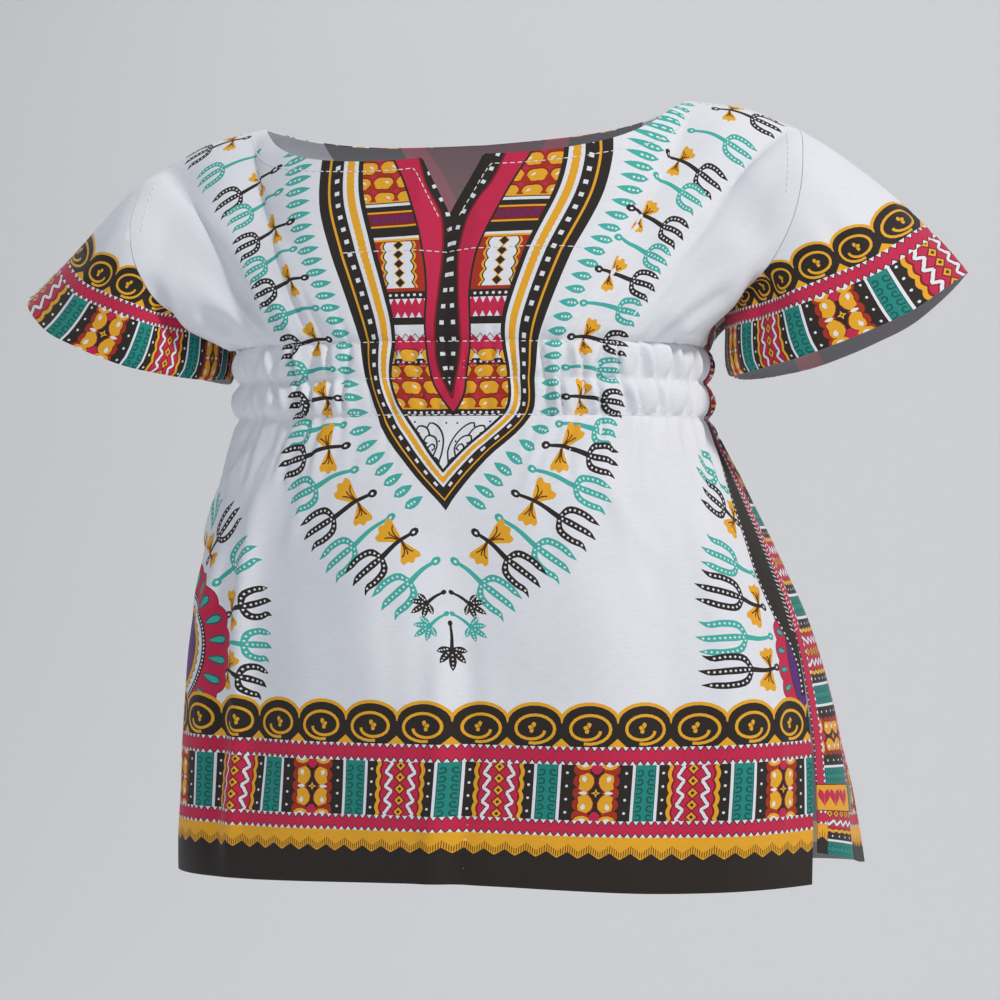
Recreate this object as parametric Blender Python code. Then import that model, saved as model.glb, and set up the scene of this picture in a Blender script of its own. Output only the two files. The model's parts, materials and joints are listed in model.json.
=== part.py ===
"""A child's dashiki shirt, in the hollow form that it has when it is worn.

The front of the shirt faces -Y and +Z is up. The origin lies midway between the two neck points, on the
line where the shoulders carry the cloth. Sizes are in millimetres until a mesh is made.

The front and the back are each one panel from hem to shoulder. A panel is a wall over a net of columns
and rows. A column is named by u, from -1 at the side seam on the -X side to +1 at the other side seam.
"""
import math

import bmesh
import bpy
import numpy as np

MM = 0.001
SAME_POINT = 1e-7

# Cloth
WALL = 1.5
SEAM_GAP = 0.3
HALF_FRONT = 176.0
HALF_BACK = 192.0

# Waist casings, by height
CASING_TOP = -106.0
CASING_MID = -121.5
CASING_LOW = -137.0
HEM = -340.0
VENT_TOP = -225.0
PUFF_CREST = 3.2
PUFF_TROUGH = 1.1
STITCHED_CREST = 1.0
GATHER_FADE_UP = 0.42
GATHER_FADE_DOWN = 46.0
PLAIN_CENTRE = 40.0
CENTRE_HOLD = 0.85
HOLD_ENDS = -205.0
PUFF_EVEN = 0.75
PUFF_UNEVEN = 0.25
CALM_CREST = 0.55
CALM_ENDS_U = 0.20
CALM_FADE_U = 0.10
SEAM_FADE_U = 0.05
GATHERS_ABOVE = 1.5
GATHERS_BELOW = 1.6

# Net of a panel, counted for one half of it
HALF_COLUMNS = 32
ARMHOLE_COLUMNS = 16
SHOULDER_END_COLUMN = 20
SKIRT_ROWS = (-340, -322, -300, -278, -256, -234, -212, -190, -170, -155, -145)
CASING_STEPS = 4
BODICE_ROWS = (0.07, 0.15, 0.26, 0.39, 0.53, 0.67, 0.81, 0.92, 1.0)
SLEEVE_ROWS = (0.0, 0.12, 0.28, 0.46, 0.64, 0.82, 1.0)
SECTION_POINTS = 720
SECTION_POWER = 2.4

BLOUSE_ALONG = 0.5
BLOUSE_UP = 0.2
BLOUSE_OUT = 0.40

# Small steps by which directions are measured: in u, in mm of height and in columns
NEAR_U = 0.02
TINY_STEP = 1e-4
TINY_DROP = 0.05
NEAR_COLUMN = 0.02


def table(columns, rows):
    """A table as one array for each named column."""
    values = np.array(rows, float)
    return {name: values[:, i] for i, name in enumerate(columns.split())}


# Level sections of the skirt and the waist. The widest point lies at widest_y. turn is how far, in degrees
# of the section's own angle, the right side seam is turned to the front.
SECTIONS = table(
    "z centre_x half_width front_y back_y widest_y turn front_share left_gap right_gap",
    [
        (-340, 19, 155, -93, 80, 18, 31, 0.478, 38, 4.0),
        (-305, 18, 152, -92, 80, 17, 28, 0.478, 27, 3.0),
        (-265, 15, 147, -91, 79, 14, 23, 0.482, 13, 2.0),
        (-225, 11, 139, -88, 77, 10, 18, 0.490, 3, 1.0),
        (-195, 7, 129, -84, 74, 7, 14, 0.498, 0.3, 0.3),
        (-165, 3, 117, -79, 70, 3, 8, 0.505, 0.3, 0.3),
        (-137, 0, 105, -73, 65, 0, 0, 0.511, 0.3, 0.3),
        (-121.5, 0, 103.5, -72, 64, 0, 0, 0.511, 0.3, 0.3),
        (-106, 0, 104, -72, 64, 0, 0, 0.511, 0.3, 0.3),
    ],
)

# Upper edge of half a panel, from the side seam to the centre. column counts the columns from the side
# seam, x y z is the place on the wearer, and along_x to along_z the way that the cloth runs there.
# reach scales its pull.
EDGE_COLUMNS = "column x y z along_x along_y along_z reach"
FRONT_ARMHOLE = table(
    EDGE_COLUMNS,
    [
        (0.0, 110, -0.15, -94, 0.80, 0.00, 0.50, 0.45),
        (3.6, 115, -19, -93.5, 0.85, -0.20, 0.45, 0.45),
        (7.0, 126, -35, -87, 0.85, -0.25, 0.45, 0.45),
        (10.0, 138, -43, -75, 0.88, -0.10, 0.40, 0.45),
        (12.0, 146, -42, -58, 0.88, 0.10, 0.35, 0.45),
        (14.0, 149, -31, -37, 0.82, 0.35, 0.20, 0.45),
        (15.1, 148, -15, -22, 0.70, 0.60, -0.05, 0.45),
        (16.0, 146, -0.15, -16, 0.54, 0.80, -0.25, 0.45),
    ],
)
FRONT_SHOULDER = table(
    EDGE_COLUMNS,
    [
        (16.0, 146, -0.15, -16, 0.54, 0.80, -0.25, 0.45),
        (18.0, 122, -0.15, -5, 0.00, 1.00, 0.00, 0.55),
        (20.0, 96, -0.15, 0, -0.50, 0.86, 0.05, 0.50),
    ],
)
FRONT_NECK = table(
    EDGE_COLUMNS,
    [
        (20.0, 96, -0.15, 0, -0.50, 0.86, 0.05, 0.50),
        (21.3, 91.5, -13, -4.5, -0.60, 0.65, 0.45, 0.5),
        (22.8, 84, -26, -12, -0.50, 0.50, 0.70, 0.5),
        (24.5, 71, -38, -19, -0.30, 0.38, 0.85, 0.6),
        (26.4, 52, -44.5, -23, -0.10, 0.32, 0.95, 0.6),
        (28.5, 30, -47, -24.5, 0.0, 0.30, 0.95, 0.6),
        (30.0, 13.6, -48, -24.5, 0.0, 0.30, 0.95, 0.6),
    ],
)
FRONT_NOTCH = table(
    EDGE_COLUMNS,
    [
        (30.0, 13.6, -48, -24.5, 0.0, 0.30, 0.95, 0.6),
        (32.0, 0.0, -55, -50, 0.0, 0.30, 0.95, 0.6),
    ],
)
BACK_ARMHOLE = table(
    EDGE_COLUMNS,
    [
        (0.0, 110, 0.15, -94, 0.80, 0.00, 0.50, 0.45),
        (3.6, 115, 18, -93.5, 0.85, 0.20, 0.45, 0.45),
        (7.0, 126, 33, -87, 0.85, 0.25, 0.45, 0.45),
        (10.0, 138, 41, -75, 0.88, 0.10, 0.40, 0.45),
        (12.0, 146, 41, -58, 0.88, -0.10, 0.35, 0.45),
        (14.0, 149, 30, -37, 0.82, -0.35, 0.20, 0.45),
        (15.1, 148, 15, -22, 0.70, -0.60, -0.05, 0.45),
        (16.0, 146, 0.15, -16, 0.54, -0.80, -0.25, 0.45),
    ],
)
BACK_SHOULDER = table(
    EDGE_COLUMNS,
    [
        (16.0, 146, 0.15, -16, 0.54, -0.80, -0.25, 0.45),
        (18.0, 122, 0.15, -5, 0.00, -1.00, 0.00, 0.55),
        (20.0, 96, 0.15, 0, -0.50, -0.86, 0.05, 0.50),
    ],
)
BACK_NECK = table(
    EDGE_COLUMNS,
    [
        (20.0, 96, 0.15, 0, -0.50, -0.86, 0.05, 0.50),
        (21.3, 88, 11.5, -2, -0.45, -0.75, 0.30, 0.5),
        (23.4, 73, 21, -5, -0.25, -0.75, 0.55, 0.6),
        (26.3, 50, 28, -7.5, -0.10, -0.70, 0.70, 0.6),
        (29.2, 25, 31, -8.5, 0.0, -0.66, 0.75, 0.6),
        (32.0, 0, 32, -9, 0.0, -0.66, 0.75, 0.6),
    ],
)
# The wearer's shoulders slope up towards +X: rise for each mm across
SHOULDER_TILT = 0.04
EDGE_STRETCHES = {
    "front": (FRONT_ARMHOLE, FRONT_SHOULDER, FRONT_NECK, FRONT_NOTCH),
    "back": (BACK_ARMHOLE, BACK_SHOULDER, BACK_NECK),
}

# How far the hem is lifted at the columns u by the way that the skirt hangs
HEM_LIFT = {
    "front": table("u lift", [(-1.0, 0.0), (-0.4, 5.0), (0.1, 8.0), (0.6, 5.0), (1.0, 5.0)]),
    "back": table("u lift", [(-1.0, 0.0), (0.3, 0.0), (0.7, 7.0), (1.0, 18.0)]),
}

# Hem of a sleeve, a row for each row of the armhole tables, and the way that the sleeve sets off there.
SLEEVE_HEM = table(
    "column x y z set_x set_y set_z",
    [
        (0.0, 115, 0, -118, 0.80, 0.00, -0.60),
        (3.6, 120, -23, -119, 0.80, -0.20, -0.60),
        (7.0, 133, -41, -117, 0.80, -0.25, -0.60),
        (10.0, 152, -49, -112, 0.85, -0.10, -0.50),
        (12.0, 172, -46, -104, 0.90, -0.05, -0.40),
        (14.0, 191, -36, -94, 0.90, 0.00, -0.40),
        (15.1, 203, -20, -84, 0.90, 0.00, -0.42),
        (16.0, 209, 0, -78, 0.90, 0.00, -0.44),
    ],
)
SLEEVE_LAND = 0.8

# What differs between the sleeves, by the side in x: how far the hem stands out and up at the top of the
# arm, how strongly the cloth sets off from the armhole, and the way that it falls at the hem.
SLEEVE_OUT = {-1: 0.0, 1: 10.0}
SLEEVE_UP = {-1: -1.0, 1: 4.0}
SLEEVE_SET_OFF = {-1: 0.5, 1: 0.85}
SLEEVE_FALL = {-1: (0.78, 0.0, -0.62), 1: (0.60, 0.0, -0.80)}

# Soft folds. u and level say where a fold starts and ends, width is across it, and height is outwards.
# In the skirt a level is a height; in the bodice it runs from 0 at the casing to 1 at the upper edge.
FOLD_COLUMNS = "u_top top u_end end width height"
FRONT_SKIRT_FOLDS = table(
    FOLD_COLUMNS,
    [
        (-0.52, -150, -0.66, -345, 0.13, 4.5),
        (-0.36, -150, -0.44, -300, 0.10, -2.5),
        (-0.12, -165, 0.06, -345, 0.12, 3.5),
        (0.10, -160, 0.22, -320, 0.11, -2.5),
        (0.40, -150, 0.46, -300, 0.12, 2.5),
        (0.74, -150, 0.80, -345, 0.10, 4.0),
        (0.60, -170, 0.64, -330, 0.09, -2.5),
    ],
)
BACK_SKIRT_FOLDS = table(
    FOLD_COLUMNS,
    [
        (-0.70, -150, -0.78, -345, 0.11, 4.0),
        (-0.40, -150, -0.50, -320, 0.12, -2.8),
        (-0.15, -155, -0.18, -345, 0.12, 3.8),
        (0.15, -155, 0.12, -330, 0.11, -2.8),
        (0.38, -150, 0.45, -345, 0.12, 4.2),
        (0.66, -150, 0.74, -345, 0.10, -3.0),
    ],
)
FRONT_BODICE_FOLDS = table(
    FOLD_COLUMNS,
    [
        (-0.76, 0.9, -0.70, 0.05, 0.11, 4.5),
        (0.74, 0.85, 0.66, 0.05, 0.11, 3.5),
        (0.56, 0.8, 0.38, 0.15, 0.08, -1.4),
        (-0.36, 0.5, -0.30, 0.0, 0.07, 1.6),
        (0.26, 0.5, 0.24, 0.0, 0.07, 1.6),
    ],
)
BACK_BODICE_FOLDS = table(
    FOLD_COLUMNS,
    [
        (-0.70, 0.9, -0.55, 0.05, 0.09, 2.0),
        (-0.30, 0.6, -0.26, 0.0, 0.08, 2.0),
        (0.02, 0.55, 0.04, 0.0, 0.07, 1.8),
        (0.34, 0.6, 0.30, 0.0, 0.08, 2.2),
        (0.70, 0.9, 0.55, 0.05, 0.09, 2.0),
    ],
)
SLEEVE_FOLDS = table("place width height", [(0.30, 0.055, 2.0), (0.70, 0.055, 1.8)])
FOLD_SIDE_FADE_U = 0.12
SKIRT_FOLD_FADE = 40.0
BODICE_FOLD_RISE = 0.2
BODICE_FOLD_FALL = 0.3
SHARP_ANGLE = math.radians(35)


def smooth_step(value):
    value = np.clip(value, 0.0, 1.0)
    return value * value * (3.0 - 2.0 * value)


def spline(keys, values, at):
    """A smooth curve through values at keys, with slopes from the neighbours on each side."""
    order = np.argsort(keys)
    keys = np.asarray(keys, float)[order]
    values = np.asarray(values, float)[order]
    at = np.clip(np.asarray(at, float), keys[0], keys[-1])
    step = np.diff(keys)
    rise = np.diff(values) / step
    slope = np.empty_like(values)
    slope[0] = rise[0]
    slope[-1] = rise[-1]
    slope[1:-1] = (rise[:-1] * step[1:] + rise[1:] * step[:-1]) / (step[:-1] + step[1:])
    i = np.clip(np.searchsorted(keys, at, side="right") - 1, 0, len(step) - 1)
    w = (at - keys[i]) / step[i]
    return (
        values[i] * (1 + 2 * w) * (1 - w) ** 2
        + values[i + 1] * w * w * (3 - 2 * w)
        + slope[i] * step[i] * w * (1 - w) ** 2
        + slope[i + 1] * step[i] * w * w * (w - 1)
    )


def section_value(column, z):
    return float(spline(SECTIONS["z"], SECTIONS[column], z))


def section(z):
    """The closed level section at z as points and running length. It starts at the right side seam and
    goes round by the front."""
    turn = math.radians(section_value("turn", z))
    angle = -turn - np.linspace(0.0, 2.0 * math.pi, SECTION_POINTS + 1)
    across = np.cos(angle)
    along = np.sin(angle)
    power = 2.0 / SECTION_POWER
    widest = section_value("widest_y", z)
    depth = np.where(
        along < 0.0,
        widest - section_value("front_y", z),
        section_value("back_y", z) - widest,
    )
    half = section_value("half_width", z)
    x = section_value("centre_x", z) + half * np.sign(across) * np.abs(across) ** power
    y = widest + depth * np.sign(along) * np.abs(along) ** power
    points = np.column_stack([x, y])
    steps = np.hypot(*np.diff(points, axis=0).T)
    return points, np.concatenate([[0.0], np.cumsum(steps)])


SECTION_CACHE = {}


def hem_lift(side, u, z):
    """The lift of the skirt at the columns u, which starts at the top of the vents."""
    share = max(VENT_TOP - z, 0.0) / (VENT_TOP - HEM)
    return spline(HEM_LIFT[side]["u"], HEM_LIFT[side]["lift"], u) * share**2


def section_point(side, u, z):
    """Places at the columns u of the panel on side "front" or "back", all at height z."""
    if z not in SECTION_CACHE:
        SECTION_CACHE[z] = section(z)
    points, length = SECTION_CACHE[z]
    whole = length[-1]
    right = section_value("right_gap", z) / 2.0
    cloth = whole - 2.0 * right - section_value("left_gap", z)
    share = section_value("front_share", z)
    half_flat = HALF_FRONT if side == "front" else HALF_BACK
    half_arc = cloth * (share if side == "front" else 1.0 - share) / 2.0
    hold = CENTRE_HOLD * smooth_step((z - HOLD_ENDS) / (CASING_LOW - HOLD_ENDS))
    even = half_arc / half_flat
    centre = even + (1.0 - even) * hold
    sides = (half_arc - PLAIN_CENTRE * centre) / (half_flat - PLAIN_CENTRE)
    flat = np.abs(u) * half_flat
    arc = np.minimum(flat, PLAIN_CENTRE) * centre + np.maximum(flat - PLAIN_CENTRE, 0.0) * sides
    arc = np.sign(u) * arc
    if side == "front":
        place = right + half_arc - arc
    else:
        place = whole - right - half_arc + arc
    x = np.interp(place, length, points[:, 0])
    y = np.interp(place, length, points[:, 1])
    return np.column_stack([x, y, z + hem_lift(side, u, z)])


def top_edge(side, u, column):
    """A column of the edge tables at each u, along the whole upper edge of the panel."""
    place = (1.0 - np.abs(u)) * HALF_COLUMNS
    result = np.zeros_like(place)
    for keys in EDGE_STRETCHES[side]:
        inside = (place >= keys["column"][0]) & (place <= keys["column"][-1])
        result = np.where(inside, spline(keys["column"], keys[column], place), result)
    if column == "z":
        return result + SHOULDER_TILT * top_edge(side, u, "x")
    return result * (np.sign(u) if column in ("x", "along_x") else 1.0)


def unit(vectors):
    return vectors / np.linalg.norm(vectors, axis=-1, keepdims=True)


def rib_point(side, u, v):
    """Places in the bodice: v runs from 0 at the casing to 1 at the upper edge."""
    low = section_point(side, u, CASING_TOP)
    before = section_point(side, np.clip(u - NEAR_U, -1, 1), CASING_TOP)
    after = section_point(side, np.clip(u + NEAR_U, -1, 1), CASING_TOP)
    run = after - before
    facing = 1.0 if side == "front" else -1.0
    outward = unit(np.column_stack([run[:, 1], -run[:, 0], np.zeros(len(run))])) * facing
    high = np.column_stack([top_edge(side, u, c) for c in ("x", "y", "z")])
    along = unit(np.column_stack([top_edge(side, u, c) for c in ("along_x", "along_y", "along_z")]))
    chord = np.linalg.norm(high - low, axis=1, keepdims=True)
    upright = np.clip((high - low)[:, 2:] / chord, 0.0, 1.0)
    leave = (high - low) * BLOUSE_ALONG
    leave = leave + (outward * BLOUSE_OUT + np.array([0.0, 0.0, BLOUSE_UP])) * chord * upright
    arrive = along * chord * top_edge(side, u, "reach")[:, None]
    return (
        low * (1 + 2 * v) * (1 - v) ** 2
        + high * v * v * (3 - 2 * v)
        + leave * v * (1 - v) ** 2
        + arrive * v * v * (v - 1)
    )


def panel_point(side, u, row):
    """row is ("z", height) below the top of the casings and ("v", share) above it."""
    kind, value = row
    if kind == "z":
        return section_point(side, u, value)
    return rib_point(side, u, value)


def fold_height(folds, u, level):
    """Sum of the folds at the columns u, at one level."""
    total = np.zeros_like(u)
    for i in range(len(folds["top"])):
        length = folds["top"][i] - folds["end"][i]
        down = (folds["top"][i] - level) / length
        centre = folds["u_top"][i] + (folds["u_end"][i] - folds["u_top"][i]) * np.clip(down, 0.0, 1.0)
        fade = smooth_step(down * 3.0 + 0.2) * smooth_step((1.0 - down) * 4.0 + 0.3)
        total += folds["height"][i] * fade * np.exp(-(((u - centre) / folds["width"][i]) ** 2))
    return total * smooth_step((1.0 - np.abs(u)) / FOLD_SIDE_FADE_U)


def panel_fold(side, u, row):
    kind, value = row
    if kind == "z":
        if value > CASING_LOW:
            return np.zeros_like(u)
        folds = FRONT_SKIRT_FOLDS if side == "front" else BACK_SKIRT_FOLDS
        return fold_height(folds, u, value) * smooth_step((CASING_LOW - value) / SKIRT_FOLD_FADE)
    folds = FRONT_BODICE_FOLDS if side == "front" else BACK_BODICE_FOLDS
    ends = smooth_step(value / BODICE_FOLD_RISE) * smooth_step((1.0 - value) / BODICE_FOLD_FALL)
    return fold_height(folds, u, value) * ends


def gather_height(columns, row, u):
    """Puffs that the elastics draw up, on the outer points alone. Every second column is a crest."""
    kind, value = row
    crest = columns % 2 == 1
    even = PUFF_EVEN + PUFF_UNEVEN * np.sin(columns * 2.3) * np.cos(columns * 0.9)
    ends = smooth_step((1.0 - np.abs(u)) / SEAM_FADE_U)
    calm = CALM_CREST + (1.0 - CALM_CREST) * smooth_step((np.abs(u) - CALM_ENDS_U) / CALM_FADE_U)
    if kind == "v":
        fade = smooth_step(1.0 - value / GATHER_FADE_UP)
        high, low = STITCHED_CREST * GATHERS_ABOVE * fade, 0.0
    elif value >= CASING_LOW:
        middle = CASING_MID if value <= CASING_MID else CASING_TOP
        bottom = CASING_LOW if value <= CASING_MID else CASING_MID
        bulge = math.sin(math.pi * (value - bottom) / (middle - bottom))
        high = STITCHED_CREST + (PUFF_CREST - STITCHED_CREST) * bulge
        low = PUFF_TROUGH * bulge
    else:
        fade = smooth_step(1.0 - (CASING_LOW - value) / GATHER_FADE_DOWN)
        high, low = STITCHED_CREST * GATHERS_BELOW * fade, 0.0
    return np.where(crest, high * even * calm, low * calm) * ends


def panel_normals(side, u, row):
    """Unit vectors that point out of the cloth, from small steps along and across it."""
    left = panel_point(side, np.clip(u - TINY_STEP, -1, 1), row)
    right = panel_point(side, np.clip(u + TINY_STEP, -1, 1), row)
    kind, value = row
    if kind == "z":
        below = panel_point(side, u, (kind, max(value - TINY_DROP, HEM)))
        above = panel_point(side, u, (kind, min(value + TINY_DROP, CASING_TOP)))
    else:
        below = panel_point(side, u, (kind, max(value - TINY_STEP, 0.0)))
        above = panel_point(side, u, (kind, min(value + TINY_STEP, 1.0)))
    facing = 1.0 if side == "front" else -1.0
    normals = unit(np.cross(right - left, above - below)) * facing
    if row == ("v", 1.0):
        square_to_shoulder(u, normals)
    return normals


def square_to_shoulder(u, normals):
    """Along a shoulder seam both panels turn the same way: square to the seam, in its upright plane."""
    place = (1.0 - np.abs(u)) * HALF_COLUMNS
    low, high = ARMHOLE_COLUMNS, SHOULDER_END_COLUMN
    for i in np.flatnonzero((place > low - NEAR_COLUMN) & (place < high + NEAR_COLUMN)):
        near = np.clip(np.array([place[i] - NEAR_COLUMN, place[i] + NEAR_COLUMN]), low, high)
        near_u = np.sign(u[i]) * (1.0 - near / HALF_COLUMNS)
        run_x = np.diff(top_edge("front", near_u, "x"))[0]
        run_z = np.diff(top_edge("front", near_u, "z"))[0]
        out = np.array([-run_z, 0.0, run_x])
        normals[i] = out / np.linalg.norm(out) * np.sign(out[2])


def panel_rows():
    rows = [("z", float(z)) for z in SKIRT_ROWS]
    for low, high in ((CASING_LOW, CASING_MID), (CASING_MID, CASING_TOP)):
        for i in range(CASING_STEPS):
            rows.append(("z", low + (high - low) * i / CASING_STEPS))
    rows.append(("z", CASING_TOP))
    rows += [("v", v) for v in BODICE_ROWS]
    return rows


def inner_row_numbers(rows):
    """Every second row of the skirt, the edges of the casings and every row of the bodice."""
    first_casing = len(SKIRT_ROWS)
    last_casing = first_casing + 2 * CASING_STEPS
    chosen = set(range(0, first_casing, 2)) | {first_casing, first_casing + CASING_STEPS, last_casing}
    chosen |= set(range(last_casing + 1, len(rows)))
    return sorted(chosen)


def inner_column_numbers(count):
    """Every column beside an armhole, and every second one between."""
    last = count - 1
    sides = set(range(ARMHOLE_COLUMNS + 1)) | set(range(last - ARMHOLE_COLUMNS, count))
    return sorted(sides | set(range(0, count, 2)))


def panel_net(side):
    """Outer and inner points of a panel, row by row."""
    columns = np.arange(-HALF_COLUMNS, HALF_COLUMNS + 1)
    u = columns / HALF_COLUMNS
    rows = panel_rows()
    outer = []
    inner = []
    for row in rows:
        base = panel_point(side, u, row)
        normals = panel_normals(side, u, row)
        base = base + normals * panel_fold(side, u, row)[:, None]
        outer.append(base + normals * gather_height(columns + HALF_COLUMNS, row, u)[:, None])
        inner.append(base - normals * WALL)
    keep = inner_row_numbers(rows)
    keep_columns = inner_column_numbers(len(columns))
    return np.array(outer), np.array(inner)[keep][:, keep_columns]


class WallMesh:
    """Collects points and triangles of one closed wall."""

    def __init__(self):
        self.points = []
        self.faces = []

    def add_net(self, net):
        rows, columns = net.shape[:2]
        start = len(self.points)
        self.points.extend(net.reshape(-1, 3).tolist())
        numbers = start + np.arange(rows * columns).reshape(rows, columns)
        for r in range(rows - 1):
            for c in range(columns - 1):
                a, b = numbers[r, c], numbers[r, c + 1]
                d, e = numbers[r + 1, c], numbers[r + 1, c + 1]
                self.faces += [(a, b, e), (a, e, d)] if (r + c) % 2 else [(a, b, d), (b, e, d)]
        return numbers

    def span(self, a, b):
        return math.dist(self.points[a], self.points[b])

    def zip_edges(self, first, second):
        """Triangles between two edges that run side by side, each with its own spacing. The shorter
        diagonal is taken each time, so that two walls which meet at a seam have the same faces there."""
        i = j = 0
        while i < len(first) - 1 or j < len(second) - 1:
            use_first = j == len(second) - 1 or (
                i < len(first) - 1
                and self.span(first[i + 1], second[j]) < self.span(first[i], second[j + 1])
            )
            if use_first:
                self.faces.append((first[i], first[i + 1], second[j]))
                i += 1
            else:
                self.faces.append((first[i], second[j + 1], second[j]))
                j += 1

    def make_object(self, name, material):
        mesh = bpy.data.meshes.new(name)
        mesh.from_pydata([[c * MM for c in p] for p in self.points], [], self.faces)
        work = bmesh.new()
        work.from_mesh(mesh)
        bmesh.ops.remove_doubles(work, verts=work.verts, dist=SAME_POINT)
        bmesh.ops.recalc_face_normals(work, faces=work.faces)
        work.to_mesh(mesh)
        work.free()
        mesh.shade_smooth()
        mesh.set_sharp_from_angle(angle=SHARP_ANGLE)
        mesh.materials.append(material)
        made = bpy.data.objects.new(name, mesh)
        bpy.context.scene.collection.objects.link(made)
        return made


def cloth_material(name, colour, roughness):
    material = bpy.data.materials.new(name)
    material.use_nodes = True
    shader = material.node_tree.nodes["Principled BSDF"]
    shader.inputs["Base Color"].default_value = (*colour, 1.0)
    shader.inputs["Roughness"].default_value = roughness
    shader.inputs["Metallic"].default_value = 0.0
    return material


def make_panel(side, material):
    outer, inner = panel_net(side)
    wall = WallMesh()
    out = wall.add_net(outer)
    inn = wall.add_net(inner)
    wall.zip_edges(out[0], inn[0])
    wall.zip_edges(out[-1], inn[-1])
    wall.zip_edges(out[:, 0], inn[:, 0])
    wall.zip_edges(out[:, -1], inn[:, -1])
    wall.make_object(side, material)
    return outer[-1], inner[-1]


def armhole_ring(edges, sign, inner):
    """Points round one armhole, from the underarm by the front to the shoulder and back by the back.

    They are the ends of the panels' own columns, so that the sleeve meets both panels."""
    front = edges["front"][inner]
    back = edges["back"][inner]
    if sign > 0:
        front, back = front[::-1], back[::-1]
    count = ARMHOLE_COLUMNS + 1
    front, back = front[:count], back[:count]
    loop = np.concatenate([front, back[-2:0:-1]])
    loop[0] = (front[0] + back[0]) / 2.0
    loop[count - 1] = (front[-1] + back[-1]) / 2.0
    return loop


def round_the_arm(name, columns, mirror):
    """A column of the sleeve table round the whole sleeve. mirror turns its sign for the back half."""
    half = spline(SLEEVE_HEM["column"], SLEEVE_HEM[name], columns)
    return np.concatenate([half, half[-2:0:-1] * (-1.0 if mirror else 1.0)])


def sleeve_surface(edges, sign):
    """Base points of a sleeve and the step from each to the inside of the cloth, row by row."""
    ring = armhole_ring(edges, sign, 0)
    inward = armhole_ring(edges, sign, 1) - ring
    outward = -unit(inward)
    columns = np.arange(ARMHOLE_COLUMNS + 1)
    hem = np.column_stack(
        [
            round_the_arm("x", columns, False) * sign,
            round_the_arm("y", columns, True),
            round_the_arm("z", columns, False),
        ]
    )
    up_the_arm = (columns / ARMHOLE_COLUMNS) ** 2
    up_the_arm = np.concatenate([up_the_arm, up_the_arm[-2:0:-1]])
    hem += up_the_arm[:, None] * np.array([SLEEVE_OUT[sign] * sign, 0.0, SLEEVE_UP[sign]])
    setting = np.column_stack(
        [
            round_the_arm("set_x", columns, False) * sign,
            round_the_arm("set_y", columns, True),
            round_the_arm("set_z", columns, False),
        ]
    )
    setting -= outward * np.sum(setting * outward, axis=1, keepdims=True)
    setting = unit(setting)
    start = ring + setting * SEAM_GAP
    length = np.linalg.norm(hem - start, axis=1, keepdims=True)
    leave = setting * length * SLEEVE_SET_OFF[sign]
    land = unit(np.array(SLEEVE_FALL[sign]) * (sign, 1.0, 1.0)) * length * SLEEVE_LAND
    rows = []
    for v in SLEEVE_ROWS:
        rows.append(
            start * (1 + 2 * v) * (1 - v) ** 2
            + hem * v * v * (3 - 2 * v)
            + leave * v * (1 - v) ** 2
            + land * v * v * (v - 1)
        )
    base = np.array(rows)
    around = np.roll(base, -1, axis=1) - np.roll(base, 1, axis=1)
    along = np.gradient(base, axis=0)
    normals = unit(np.cross(around, along)) * -sign
    place = np.arange(base.shape[1]) / base.shape[1]
    for i in range(len(SLEEVE_FOLDS["place"])):
        near = (place - SLEEVE_FOLDS["place"][i]) / SLEEVE_FOLDS["width"][i]
        fold = SLEEVE_FOLDS["height"][i] * np.exp(-near * near)
        base += normals * (fold[None, :] * np.sin(np.pi * np.array(SLEEVE_ROWS))[:, None])[..., None]
    blend = smooth_step(np.array(SLEEVE_ROWS) / SLEEVE_ROWS[2])[:, None, None]
    step_in = inward[None] * (1 - blend) - normals * WALL * blend
    return base, step_in


def make_sleeve(name, edges, sign, material):
    """A sleeve, set into its armhole with a narrow gap at the seam."""
    base, step_in = sleeve_surface(edges, sign)
    inner = base + step_in
    wall = WallMesh()
    out = wall.add_net(np.concatenate([base, base[:, :1]], axis=1))
    inn = wall.add_net(np.concatenate([inner, inner[:, :1]], axis=1))
    wall.zip_edges(out[0], inn[0])
    wall.zip_edges(out[-1], inn[-1])
    wall.make_object(name, material)


for old in list(bpy.data.objects):
    bpy.data.objects.remove(old, do_unlink=True)

COTTON = cloth_material("printed_cotton", (0.78, 0.79, 0.82), 0.85)
EDGES = {side: make_panel(side, COTTON) for side in ("front", "back")}
make_sleeve("sleeve_left", EDGES, -1, COTTON)
make_sleeve("sleeve_right", EDGES, 1, COTTON)
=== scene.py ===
# %% [markdown]
# # A small dashiki shirt, hollow, as it is worn
#
# The real shirt is four pieces of printed cotton: a front, a back and two short wing sleeves. Two elastics
# run round the waist in stitched casings and draw the cloth into puffs. This lesson makes each piece as
# a tailor would: first the shape that the cloth takes on the body, then the flat print, then a map that
# lays the flat print on the shape.
#
# The imported solids give the frame, so the first lines load it and list its parts.

# %% The frame
import json
import math

import bpy
import numpy as np
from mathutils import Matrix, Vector
from mathutils.geometry import delaunay_2d_cdt
from mathutils.kdtree import KDTree

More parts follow.
